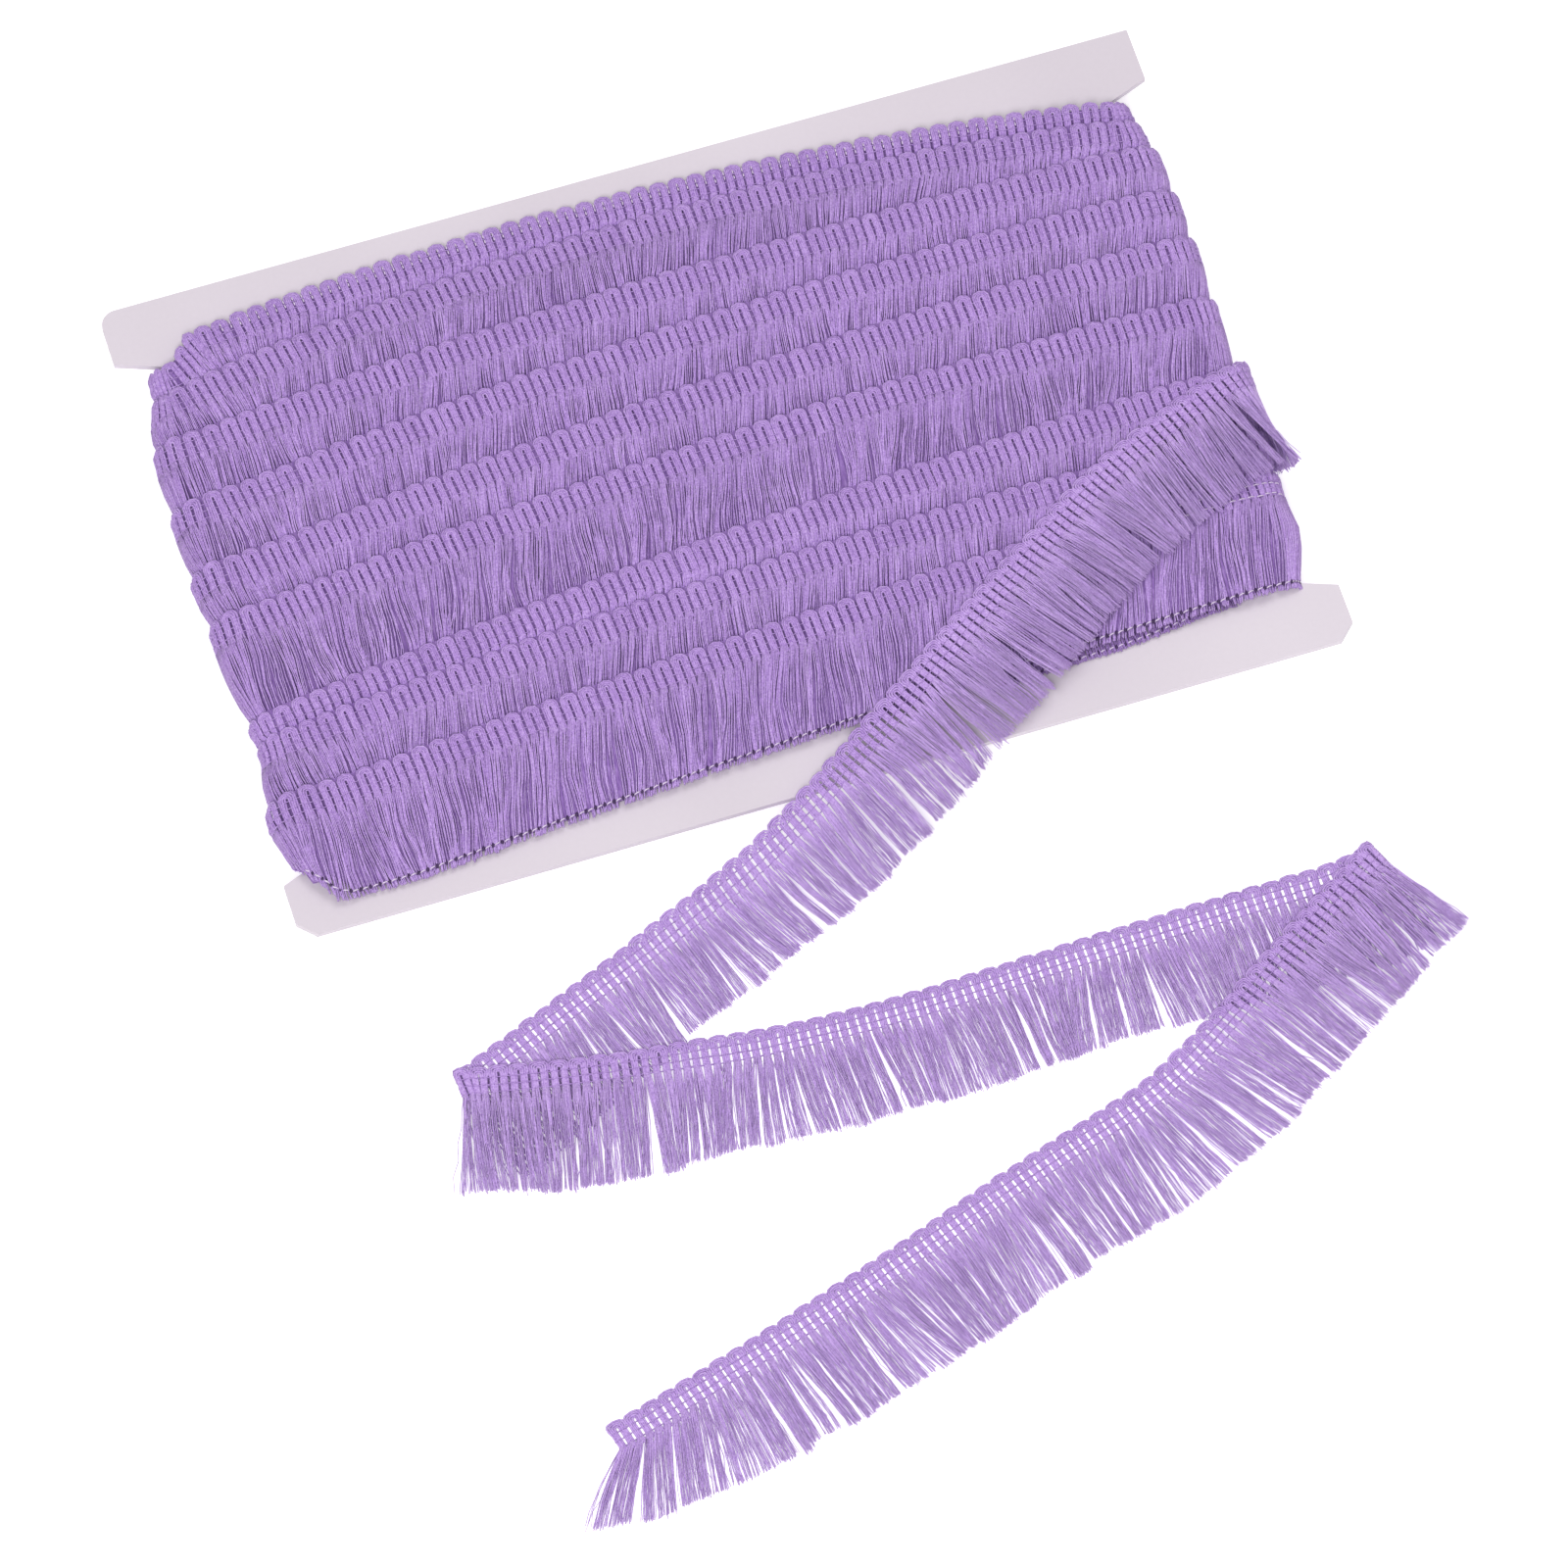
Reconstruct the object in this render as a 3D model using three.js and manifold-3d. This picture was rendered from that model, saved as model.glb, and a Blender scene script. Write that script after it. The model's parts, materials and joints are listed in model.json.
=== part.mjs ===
// Brush fringe trim wound on a flat card, with a loose end that is folded twice beside it.
// Millimetres, X along the card, Y across it, Z up. The origin is under the middle of the card,
// on the surface that the wound trim lies on.

import * as THREE from "three";
import { mergeVertices } from "three/addons/utils/BufferGeometryUtils.js";
import Module from "manifold-3d";

// Driving dimensions of the trim
const TRIM_WIDTH = 25.4;
const HEADING_WIDTH = 6.5;
const SHEET = 1.2;
const GAP = 0.3;
const SCALLOP_PITCH = 4.1;
const SCALLOP_DEPTH = 0.55;

// Card with a notch at each end, in which the trim is wound
const CARD_LENGTH = 229;
const CARD_HEIGHT = 152;
const CARD_THICKNESS = 1.5;
const CARD_END_HEIGHT = 12.5;
const CARD_CORNER = 3.5;
const NOTCH_FLOOR = 105;
const NOTCH_HALF_HEIGHT = 60;

// Wound trim: half its thickness is also the height of the card's middle plane
const PACK_HALF = 7;
const SLOT_HALF = CARD_THICKNESS / 2 + GAP;
const ROW_STEP = 1.3;
const ROW_RISER = 0.35;
const HEADING_SHARE = 0.6;
const NOTCH_CLEARANCE = 1;
const EDGE_RISE = 12;
const END_STEPS = 6;

// Heading edge of each of the nine visible rows, from the top row down: its place across the card
// at the left end, in the middle and at the right end of the front
const ROWS = [
  { left: 64.6, middle: 70.2, right: 59.2 },
  { left: 52.1, middle: 62.7, right: 53.8 },
  { left: 40.6, middle: 47.0, right: 46.0 },
  { left: 25.2, middle: 34.5, right: 34.4 },
  { left: 9.6, middle: 19.9, right: 22.6 },
  { left: -2.3, middle: 6.5, right: 7.5 },
  { left: -26.2, middle: -15.0, right: -10.4 },
  { left: -31.4, middle: -24.5, right: -25.1 },
  { left: -45.9, middle: -38.7, right: -35.3 },
];
const HEM = { left: -72.5, middle: -65.2, right: -62.0 };

// Thickness of the wound trim from the card's middle plane, across the card
const CROWN = [
  { y: -71, thick: 2.5 },
  { y: -60, thick: 4.2 },
  { y: -50, thick: 6.2 },
  { y: -42, thick: 7.0 },
  { y: 44, thick: 7.0 },
  { y: 52, thick: 6.2 },
  { y: 60, thick: 4.6 },
  { y: 71, thick: 2.7 },
];

// Height of the loose end's under side where it passes over the pack and down to the surface
const DRAPE = [
  { y: -103, z: 0 },
  { y: -96, z: 0.9 },
  { y: -89, z: 3.9 },
  { y: -77, z: 9.8 },
  { y: -62, z: 12.9 },
  { y: -50, z: 14.1 },
  { y: -44, z: PACK_HALF * 2 + GAP },
];
const WRAP_RADIUS = PACK_HALF + GAP;

// Runs of the loose end, each going on where the last one ends: directions of travel at distances
// along the heading edge, and the side of the heading on which the fringe lies
const TAIL_START = { x: 120, y: -6.5 };
const RUNS = [
  {
    length: 237.5,
    side: 1,
    turns: [
      { at: 0, heading: -163 },
      { at: 32, heading: -159 },
      { at: 59, heading: -148 },
      { at: 110, heading: -146 },
      { at: 144, heading: -149 },
      { at: 170, heading: -159.5 },
      { at: 237.5, heading: -158 },
    ],
  },
  {
    length: 194.5,
    side: -1,
    turns: [
      { at: 0, heading: -13.5 },
      { at: 56, heading: -5.5 },
      { at: 110, heading: 2 },
      { at: 182, heading: 0 },
      { at: 188, heading: 8 },
      { at: 194.5, heading: 17 },
    ],
  },
  {
    length: 202,
    side: 1,
    turns: [
      { at: 0, heading: -149 },
      { at: 50, heading: -146 },
      { at: 81, heading: -164 },
      { at: 121, heading: -161 },
      { at: 202, heading: -165.5 },
    ],
  },
];
const LAYER = SHEET + GAP;
const FOLD_RADIUS = LAYER / 2;
const FOLD_STEPS = 4;
const FOLD_TURN_LENGTH = 6;

// Where the second run lies on the first and the third on the second, and how they come down
const FIRST_TIPS = { x: -25, y: -112.4, slope: 0.378 };
const SECOND_TIPS_Y = -147;
const STEP_DOWN_START = 2;
const STEP_DOWN_END = 10;

// Fringe locks of the loose end
const BACKING_WIDTH = 1;
const BACKING_STEP = { wrapped: 3, laid: 8 };
const WRAPPED_LENGTH = 24;
const ROOT_INSET = 0.3;
const LOCK_PITCH = 2.6;
const LOCK = [
  { part: 0, width: 2.1, height: 1.1 },
  { part: 0.5, width: 1.75, height: 1.0 },
  { part: 1, width: 0.7, height: 0.6 },
];
const LENGTH_WAVES = [{ size: 0.7, period: 23 }, { size: 0.5, period: 7.7 }];
const TURN_WAVES = [{ size: 3.2, period: 19 }, { size: 1.8, period: 8.3 }];
const WAVE_SHIFT = 11;
const START_SPLAY = { turn: -17, over: 8 };
const CUT_SPLAY = { turn: -38, over: 13 };
const FRINGES = [
  { name: "tail_fringe_on_pack", run: 0, from: 0.5, to: 92, bends: 0 },
  { name: "tail_fringe_over_edge", run: 0, from: 93, to: 166, bends: 2 },
  { name: "tail_fringe_run_1", run: 0, from: 167, to: 236, bends: 0 },
  { name: "tail_fringe_run_2", run: 1, from: 3, to: 192.5, bends: 0 },
  { name: "tail_fringe_run_3", run: 2, from: 2, to: 201, bends: 0 },
];

const LILAC = new THREE.MeshStandardMaterial({ color: 0x9e78c8, roughness: 0.9, metalness: 0 });
const PALE_CARD = new THREE.MeshStandardMaterial({ color: 0xe2dbe6, roughness: 0.8, metalness: 0 });

const DEGREE = Math.PI / 180;
const { smoothstep, lerp } = THREE.MathUtils;

// Value of a table column between the rows whose key column holds x
function readTable(table, key, value, x) {
  const last = table.length - 1;
  if (x <= table[0][key]) return table[0][value];
  if (x >= table[last][key]) return table[last][value];
  const i = table.findIndex((row) => row[key] > x);
  const part = (x - table[i - 1][key]) / (table[i][key] - table[i - 1][key]);
  return lerp(table[i - 1][value], table[i][value], part);
}

// Sum of sine waves at a distance along the trim
function sumWaves(waves, distance) {
  return waves.reduce((sum, wave) => sum + wave.size * Math.sin((2 * Math.PI * distance) / wave.period), 0);
}

// Closed geometry from rings of points; the rings join end to end, or have flat caps
function meshFromRings(rings, joinEnds) {
  const count = rings[0].length;
  const positions = rings.flatMap((ring) => ring.flatMap((point) => [point.x, point.y, point.z]));
  const faces = [];
  const steps = joinEnds ? rings.length : rings.length - 1;
  for (let i = 0; i < steps; i += 1) {
    const here = i * count;
    const next = ((i + 1) % rings.length) * count;
    for (let j = 0; j < count; j += 1) {
      const k = (j + 1) % count;
      faces.push([here + j, next + j, next + k], [here + j, next + k, here + k]);
    }
  }
  if (!joinEnds) {
    const end = (rings.length - 1) * count;
    for (let j = 1; j < count - 1; j += 1) {
      faces.push([0, j, j + 1], [end, end + j + 1, end + j]);
    }
  }
  const geometry = new THREE.BufferGeometry();
  geometry.setAttribute("position", new THREE.Float32BufferAttribute(positions, 3));
  geometry.setIndex(facesOut(faces, positions).flat());
  return geometry;
}

// The faces, turned round if they enclose a negative volume
function facesOut(faces, positions) {
  const corner = (i) => new THREE.Vector3().fromArray(positions, i * 3);
  let volume = 0;
  for (const [a, b, c] of faces) {
    volume += corner(a).dot(corner(b).cross(corner(c)));
  }
  return volume < 0 ? faces.map(([a, b, c]) => [a, c, b]) : faces;
}

// Card: a plate whose ends are notched between a top and a bottom flange
function makeCard() {
  const endX = CARD_LENGTH / 2;
  const topY = CARD_HEIGHT / 2;
  const flangeY = topY - CARD_END_HEIGHT;
  const shape = new THREE.Shape();
  shape.moveTo(-endX, flangeY);
  shape.lineTo(-endX, topY - CARD_CORNER);
  shape.absarc(-endX + CARD_CORNER, topY - CARD_CORNER, CARD_CORNER, Math.PI, Math.PI / 2, true);
  shape.lineTo(endX, topY);
  shape.lineTo(endX, flangeY);
  shape.lineTo(NOTCH_FLOOR, NOTCH_HALF_HEIGHT);
  shape.lineTo(NOTCH_FLOOR, -NOTCH_HALF_HEIGHT);
  shape.lineTo(endX, -flangeY);
  shape.lineTo(endX, -topY + CARD_CORNER);
  shape.lineTo(endX - CARD_CORNER, -topY);
  shape.lineTo(-endX + CARD_CORNER, -topY);
  shape.lineTo(-endX, -topY + CARD_CORNER);
  shape.lineTo(-endX, -flangeY);
  shape.lineTo(-NOTCH_FLOOR, -NOTCH_HALF_HEIGHT);
  shape.lineTo(-NOTCH_FLOOR, NOTCH_HALF_HEIGHT);
  shape.closePath();
  const options = { depth: CARD_THICKNESS, bevelEnabled: false, curveSegments: 5 };
  const geometry = new THREE.ExtrudeGeometry(shape, options);
  geometry.translate(0, 0, PACK_HALF - CARD_THICKNESS / 2);
  geometry.deleteAttribute("normal");
  geometry.deleteAttribute("uv");
  return mergeVertices(geometry);
}

// Place across the card of a row's edge, kept inside the notches near the ends.
// The front follows the three values of the row, and the back runs straight between its ends.
function rowEdge(row, x, onFront) {
  const part = x / NOTCH_FLOOR;
  const slope = (row.right - row.left) / 2;
  const level = (row.right + row.left) / 2;
  const bow = onFront ? (row.middle - level) * (1 - part * part) : 0;
  const rise = EDGE_RISE * smoothstep(NOTCH_FLOOR - Math.abs(x), 0, EDGE_RISE);
  const limit = NOTCH_HALF_HEIGHT - NOTCH_CLEARANCE + rise;
  return THREE.MathUtils.clamp(level + slope * part + bow, -limit, limit);
}

// Section of the wound trim at one place round the card: points of y and distance from its middle plane
function woundSection(x, onFront) {
  const edges = ROWS.map((row) => rowEdge(row, x, onFront));
  const hem = rowEdge(HEM, x, onFront);
  const crown = (y) => readTable(CROWN, "y", "thick", y);
  const section = [[edges[0], SLOT_HALF]];
  edges.forEach((edge, i) => {
    const below = i + 1 < edges.length ? edges[i + 1] : hem;
    const heading = Math.min(HEADING_WIDTH, (edge - below) * HEADING_SHARE);
    const crest = crown(edge - heading / 2);
    if (i > 0) section.push([edge, crown(edge) - ROW_STEP]);
    section.push([edge - ROW_RISER, crest - ROW_RISER / 2]);
    section.push([edge - heading / 2, crest]);
    section.push([edge - heading, onFront ? crest - ROW_RISER : crest]);
  });
  section.push([hem + ROW_RISER, crown(hem)]);
  section.push([hem, crown(hem) - ROW_STEP / 2]);
  section.push([hem, SLOT_HALF]);
  return section;
}

// Stations round the card: along the front, round the right end, along the back, round the left end
function windingStations() {
  const along = [-105, -101, -97, -93, -78, -52, -26, 0, 26, 52, 78, 93, 97, 101, 105];
  const front = along.map((x) => ({ x, angle: 0 }));
  const back = along.map((x) => ({ x: -x, angle: Math.PI }));
  const rightEnd = [];
  const leftEnd = [];
  for (let i = 1; i < END_STEPS; i += 1) {
    rightEnd.push({ x: NOTCH_FLOOR, angle: (Math.PI * i) / END_STEPS });
    leftEnd.push({ x: -NOTCH_FLOOR, angle: Math.PI + (Math.PI * i) / END_STEPS });
  }
  return [...front, ...rightEnd, ...back, ...leftEnd];
}

// Wound trim: one closed ring round the card, with the shingled rows as ridges
function makeWoundTrim() {
  const rings = windingStations().map(({ x, angle }) => {
    const onFront = Math.cos(angle) > 0;
    return woundSection(x, onFront).map(([y, thick]) => {
      const out = Math.sin(angle) * thick;
      const up = Math.cos(angle) * thick;
      return new THREE.Vector3(x + out, y, Math.max(PACK_HALF + up, 0));
    });
  });
  return meshFromRings(rings, true);
}

// Place and direction on a run's heading edge at a distance from its start
function spotOn(run, distance) {
  const steps = Math.max(Math.ceil(distance), 1);
  const step = distance / steps;
  let { x, y } = run.start;
  for (let i = 0; i < steps; i += 1) {
    const heading = readTable(run.turns, "at", "heading", (i + 0.5) * step) * DEGREE;
    x += Math.cos(heading) * step;
    y += Math.sin(heading) * step;
  }
  return { x, y, heading: readTable(run.turns, "at", "heading", distance) };
}

// Runs with their starting places filled in
function layRuns() {
  let start = TAIL_START;
  return RUNS.map((run, index) => {
    const laid = { ...run, index, start };
    start = spotOn(laid, run.length);
    return laid;
  });
}

// Height of the surface that a run lies on at a place
function restHeight(run, x, y) {
  if (run.index === 0) return readTable(DRAPE, "y", "z", y);
  const tipsY = run.index === 1 ? FIRST_TIPS.y + (x - FIRST_TIPS.x) * FIRST_TIPS.slope : SECOND_TIPS_Y;
  return LAYER * smoothstep(y - tipsY, -STEP_DOWN_END, -STEP_DOWN_START);
}

// Under side of the trim at a place: past the notch floor, x is measured round the pack's end
function layDown(run, x, y, above) {
  const angle = run.index === 0 ? Math.max(x - NOTCH_FLOOR, 0) / WRAP_RADIUS : 0;
  if (angle === 0) return new THREE.Vector3(x, y, restHeight(run, x, y) + above);
  const radius = WRAP_RADIUS + above;
  return new THREE.Vector3(NOTCH_FLOOR + radius * Math.sin(angle), y, PACK_HALF + radius * Math.cos(angle));
}

// Turn of the section line near a crease, so that it ends parallel to the crease
function creaseTurn(runs, run, distance) {
  const before = runs[run.index - 1];
  const after = runs[run.index + 1];
  let turn = 0;
  if (before) {
    const crease = (before.turns.at(-1).heading + run.turns[0].heading) / 2;
    const square = run.turns[0].heading + 90 * run.side;
    turn += (crease - square) * (1 - smoothstep(distance, 0, FOLD_TURN_LENGTH));
  }
  if (after) {
    const crease = (run.turns.at(-1).heading + after.turns[0].heading) / 2;
    const square = run.turns.at(-1).heading + 90 * run.side;
    turn += (crease - square) * (1 - smoothstep(run.length - distance, 0, FOLD_TURN_LENGTH));
  }
  return turn;
}

// Four corners of the heading at a distance, outer and inner edge, upper or lower face first
function headingSection(runs, run, distance, scallop) {
  const spot = spotOn(run, distance);
  const turn = creaseTurn(runs, run, distance);
  const angle = (spot.heading + 90 * run.side + turn) * DEGREE;
  const reach = HEADING_WIDTH / Math.cos(turn * DEGREE);
  const place = (across, above) =>
    layDown(run, spot.x + Math.cos(angle) * across, spot.y + Math.sin(angle) * across, above);
  const lower = [place(scallop, 0), place(reach, 0)];
  const upper = [place(scallop, SHEET), place(reach, SHEET)];
  const turnedOver = run.side < 0;
  const first = turnedOver ? upper : lower;
  const second = turnedOver ? lower : upper;
  return [first[0], first[1], second[1], second[0]];
}

// Sections round the half circle of a fold, between the end of one run and the start of the next
function foldSections(runs, run) {
  const spot = spotOn(run, run.length);
  const crease = ((run.turns.at(-1).heading + runs[run.index + 1].turns[0].heading) / 2) * DEGREE;
  const square = (run.turns.at(-1).heading + 90 * run.side) * DEGREE;
  const reach = HEADING_WIDTH / Math.cos(crease - square);
  const along = new THREE.Vector3(Math.cos(crease), Math.sin(crease), 0);
  const outward = new THREE.Vector3(-along.y, along.x, 0).multiplyScalar(-run.side);
  const centre = new THREE.Vector3(spot.x, spot.y, SHEET / 2 + FOLD_RADIUS);
  const sections = [];
  for (let i = 1; i < FOLD_STEPS; i += 1) {
    const angle = (Math.PI * i) / FOLD_STEPS;
    const down = new THREE.Vector3(0, 0, -Math.cos(angle));
    const away = outward.clone().multiplyScalar(Math.sin(angle)).add(down);
    const place = (across, radius) =>
      centre.clone().addScaledVector(away, radius).addScaledVector(along, across);
    const outer = [place(0, FOLD_RADIUS + SHEET / 2), place(reach, FOLD_RADIUS + SHEET / 2)];
    const inner = [place(0, FOLD_RADIUS - SHEET / 2), place(reach, FOLD_RADIUS - SHEET / 2)];
    const first = run.side > 0 ? outer : inner;
    const second = run.side > 0 ? inner : outer;
    sections.push([first[0], first[1], second[1], second[0]]);
  }
  return sections;
}

// Heading of the loose end: one strip with a scalloped outer edge, through all runs and folds
function makeTailHeading(runs) {
  const rings = [];
  for (const run of runs) {
    const scallops = Math.round(run.length / SCALLOP_PITCH);
    for (let i = 0; i < scallops; i += 1) {
      const distance = (i / scallops) * run.length;
      const pitch = run.length / scallops;
      rings.push(headingSection(runs, run, distance, 0));
      rings.push(headingSection(runs, run, distance + pitch / 2, -SCALLOP_DEPTH));
    }
    rings.push(headingSection(runs, run, run.length, 0));
    if (runs[run.index + 1]) rings.push(...foldSections(runs, run));
  }
  return meshFromRings(rings, false);
}

// Direction of a lock: square to the heading, in soft waves, splayed at the two ends of the loose end
function lockTurn(runs, run, distance) {
  const waves = sumWaves(TURN_WAVES, distance + run.index * WAVE_SHIFT);
  const fromStart = run.index === 0 ? 1 - smoothstep(distance, 0, START_SPLAY.over) : 0;
  const toCut = run.length - distance;
  const fromCut = run.index === runs.length - 1 ? 1 - smoothstep(toCut, 0, CUT_SPLAY.over) : 0;
  return waves + START_SPLAY.turn * fromStart + CUT_SPLAY.turn * fromCut;
}

// Point of a lock at a reach from its root: it follows the drape, but past the pack's end it sticks out
function lockPoint(run, root, direction, reach, aside, above) {
  const x = root.x + direction.x * reach - direction.y * aside;
  const y = root.y + direction.y * reach + direction.x * aside;
  const angle = run.index === 0 ? Math.max(root.x - NOTCH_FLOOR, 0) / WRAP_RADIUS : 0;
  const anchor = layDown(run, root.x, root.y, above);
  const ahead = x - root.x;
  const drop = restHeight(run, x, y) - restHeight(run, root.x, root.y);
  const z = anchor.z - ahead * Math.sin(angle) + drop;
  return new THREE.Vector3(anchor.x + ahead * Math.cos(angle), y, Math.max(z, above));
}

// One lock: a flat four-sided strand bundle that narrows to its tip, starting inside the backing
function makeLock(runs, run, distance, bends) {
  const spot = spotOn(run, distance);
  const square = spot.heading + 90 * run.side;
  const turned = square + lockTurn(runs, run, distance);
  const toSide = (degrees) => ({ x: Math.cos(degrees * DEGREE), y: Math.sin(degrees * DEGREE) });
  const inset = HEADING_WIDTH + GAP + ROOT_INSET;
  const root = { x: spot.x + toSide(square).x * inset, y: spot.y + toSide(square).y * inset };
  const length = TRIM_WIDTH - inset + sumWaves(LENGTH_WAVES, distance + run.index * WAVE_SHIFT);
  const steps = LOCK.length - 1 + bends;
  const rings = [];
  for (let i = 0; i <= steps; i += 1) {
    const part = i / steps;
    const half = readTable(LOCK, "part", "width", part) / 2;
    const height = readTable(LOCK, "part", "height", part);
    const place = (aside, above) => lockPoint(run, root, toSide(turned), length * part, aside, above);
    rings.push([place(-half, 0), place(half, 0), place(half, height), place(-half, height)]);
  }
  return meshFromRings(rings, false);
}

// Narrow strip beside the heading's inner edge that holds the roots of the locks
function makeBacking(run, from, to) {
  const rings = [];
  const distances = [];
  for (let distance = from; distance < to - BACKING_STEP.wrapped;) {
    distances.push(distance);
    distance += run.index === 0 && distance < WRAPPED_LENGTH ? BACKING_STEP.wrapped : BACKING_STEP.laid;
  }
  distances.push(to);
  for (const distance of distances) {
    const spot = spotOn(run, distance);
    const angle = (spot.heading + 90 * run.side) * DEGREE;
    const place = (across, above) =>
      layDown(run, spot.x + Math.cos(angle) * across, spot.y + Math.sin(angle) * across, above);
    const near = HEADING_WIDTH + GAP;
    const far = near + BACKING_WIDTH;
    rings.push([place(near, 0), place(far, 0), place(far, SHEET), place(near, SHEET)]);
  }
  return meshFromRings(rings, false);
}

const wasm = await Module();
wasm.setup();

function toSolid(geometry) {
  const vertProperties = geometry.getAttribute("position").array;
  const triVerts = new Uint32Array(geometry.getIndex().array);
  return new wasm.Manifold(new wasm.Mesh({ numProp: 3, vertProperties, triVerts }));
}

function toGeometry(solid) {
  const mesh = solid.getMesh();
  const geometry = new THREE.BufferGeometry();
  geometry.setAttribute("position", new THREE.Float32BufferAttribute(mesh.vertProperties, 3));
  geometry.setIndex(Array.from(mesh.triVerts));
  return geometry;
}

// Fringe of one stretch: its locks joined to their backing
function makeFringe(runs, { run: index, from, to, bends }) {
  const run = runs[index];
  let solid = toSolid(makeBacking(run, from, to));
  const count = Math.floor((to - from) / LOCK_PITCH);
  for (let i = 0; i < count; i += 1) {
    const distance = lerp(from, to, (i + 0.5) / count);
    solid = solid.add(toSolid(makeLock(runs, run, distance, bends)));
  }
  return toGeometry(solid);
}

function addPiece(group, name, geometry, material) {
  geometry.computeVertexNormals();
  const mesh = new THREE.Mesh(geometry, material);
  mesh.name = name;
  group.add(mesh);
}

const group = new THREE.Group();
const tail = layRuns();
addPiece(group, "card", makeCard(), PALE_CARD);
addPiece(group, "wound_trim", makeWoundTrim(), LILAC);
addPiece(group, "tail_heading", makeTailHeading(tail), LILAC);
for (const fringe of FRINGES) {
  addPiece(group, fringe.name, makeFringe(tail, fringe), LILAC);
}

export default group;
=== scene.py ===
"""Brush fringe trim wound on a flat card, with a loose end folded twice beside it.

Lengths are in millimetres in the model's own frame and become metres when a mesh is made.
"""

import json
import math

import bpy
import numpy as np
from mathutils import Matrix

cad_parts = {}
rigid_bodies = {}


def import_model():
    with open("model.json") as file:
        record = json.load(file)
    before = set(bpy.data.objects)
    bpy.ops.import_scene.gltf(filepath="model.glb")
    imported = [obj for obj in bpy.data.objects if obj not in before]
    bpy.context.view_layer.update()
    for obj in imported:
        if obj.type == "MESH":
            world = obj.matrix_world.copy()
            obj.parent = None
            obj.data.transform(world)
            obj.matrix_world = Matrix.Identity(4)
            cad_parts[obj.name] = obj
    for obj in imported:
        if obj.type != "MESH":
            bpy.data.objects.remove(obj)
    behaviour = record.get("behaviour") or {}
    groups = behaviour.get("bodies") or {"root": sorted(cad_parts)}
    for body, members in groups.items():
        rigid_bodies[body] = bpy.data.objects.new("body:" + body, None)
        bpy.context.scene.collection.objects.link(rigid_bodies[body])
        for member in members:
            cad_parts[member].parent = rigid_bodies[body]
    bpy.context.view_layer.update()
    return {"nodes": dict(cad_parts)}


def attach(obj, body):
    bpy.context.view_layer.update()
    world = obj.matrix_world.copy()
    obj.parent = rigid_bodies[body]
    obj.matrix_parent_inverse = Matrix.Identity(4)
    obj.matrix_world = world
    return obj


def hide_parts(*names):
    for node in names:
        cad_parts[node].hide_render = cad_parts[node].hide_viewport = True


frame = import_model()

MM = 0.001

# Trim: two legs to a scallop, four yarns to a leg, three rows of chain stitch across them
TRIM_WIDTH = 25.4
HEADING_WIDTH = 6.5
SHEET = 1.2
GAP = 0.3
SCALLOP_PITCH = 4.1
LEG_PITCH = SCALLOP_PITCH / 2
YARNS = 4
YARN_HALF = 0.27
YARN_THICKNESS = 0.3
ARCH_TOP = {"inner": 1.55, "outer": 0.25}
PACK_ARCH = {"inner": 0.4, "outer": 1.25, "flare": 0.0}
TAIL_ARCH = {"inner": 0.4, "outer": 0.75, "flare": 0.24}
LEG_CROWN = 0.26
EDGE_DROP = 0.25
STITCH_ROWS = (2.75, 4.4, 6.0)
STITCH_DIP = 0.17
STITCH_PINCH = 0.93
LEG_END = 7.3
LEG_SINK = 0.4
ROOT = 6.0
ROOT_INSET = 0.1
ARCH_ANGLES = (0, 40, 90, 140, 180)
ARCH_DEPTH = 2.0

# Card and pack
CARD_THICKNESS = 1.5
NOTCH_FLOOR = 105.0
NOTCH_HALF_HEIGHT = 60.0
NOTCH_CLEARANCE = 1.0
EDGE_RISE = 12.0
PACK_HALF = 7.0
SLOT_HALF = CARD_THICKNESS / 2 + GAP
ROW_STEP = 1.3
REST_CLEARANCE = 0.3

# Heading edge of each visible row at the left end, in the middle and at the right end of the front
ROWS = [
    (64.6, 70.2, 59.2),
    (52.1, 62.7, 53.8),
    (40.6, 47.0, 46.0),
    (25.2, 34.5, 34.4),
    (9.6, 19.9, 22.6),
    (-2.3, 6.5, 7.5),
    (-26.2, -15.0, -10.4),
    (-31.4, -24.5, -25.1),
    (-45.9, -38.7, -35.3),
]
ROW_NAMES = "abcdefghi"
HEM = (-72.5, -65.2, -62.0)
HEM_SPREAD = 15.0
EDGES = [*ROWS, HEM]
LAST = len(ROWS) - 1

# Distance of the trim's surface from the card's middle plane, by place across: front, left and right end
CROWN = [
    (-71, 2.5, 3.2, 2.0), (-60, 4.2, 7.0, 2.8), (-50, 6.2, 9.1, 6.3), (-42, 7.0, 8.2, 5.6),
    (-36, 7.0, 6.3, 6.0), (-30, 7.0, 6.1, 6.6), (-20, 7.0, 7.8, 6.6), (-12, 7.0, 8.2, 6.2),
    (0, 7.0, 8.2, 6.3), (12, 7.0, 8.9, 6.9), (20, 7.0, 8.6, 7.1), (33, 7.0, 8.4, 7.1),
    (44, 7.0, 7.4, 6.6), (52, 6.2, 4.5, 5.0), (60, 4.6, 3.4, 3.4), (71, 2.7, 2.4, 2.4),
]
FRONT, LEFT_END, RIGHT_END = 1, 2, 3
END_BLEND = (NOTCH_FLOOR - 8, NOTCH_FLOOR + 4)

# How a row sinks from the level part of its heading to the next row's heading
ROW_LEVEL = HEADING_WIDTH * 0.6
ROW_SINK = {"power": 2.2, "limit": 1.2, "shortest": 1.5, "last_row": 0.2}

# Height of the loose end's under side by place across, over the pack and down to the surface
DRAPE = [(-103, 0.0), (-96, 0.9), (-89, 3.9), (-77, 9.8), (-62, 12.9), (-50, 14.1), (-44, 14.3)]
WRAP_RADIUS = PACK_HALF + GAP

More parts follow.
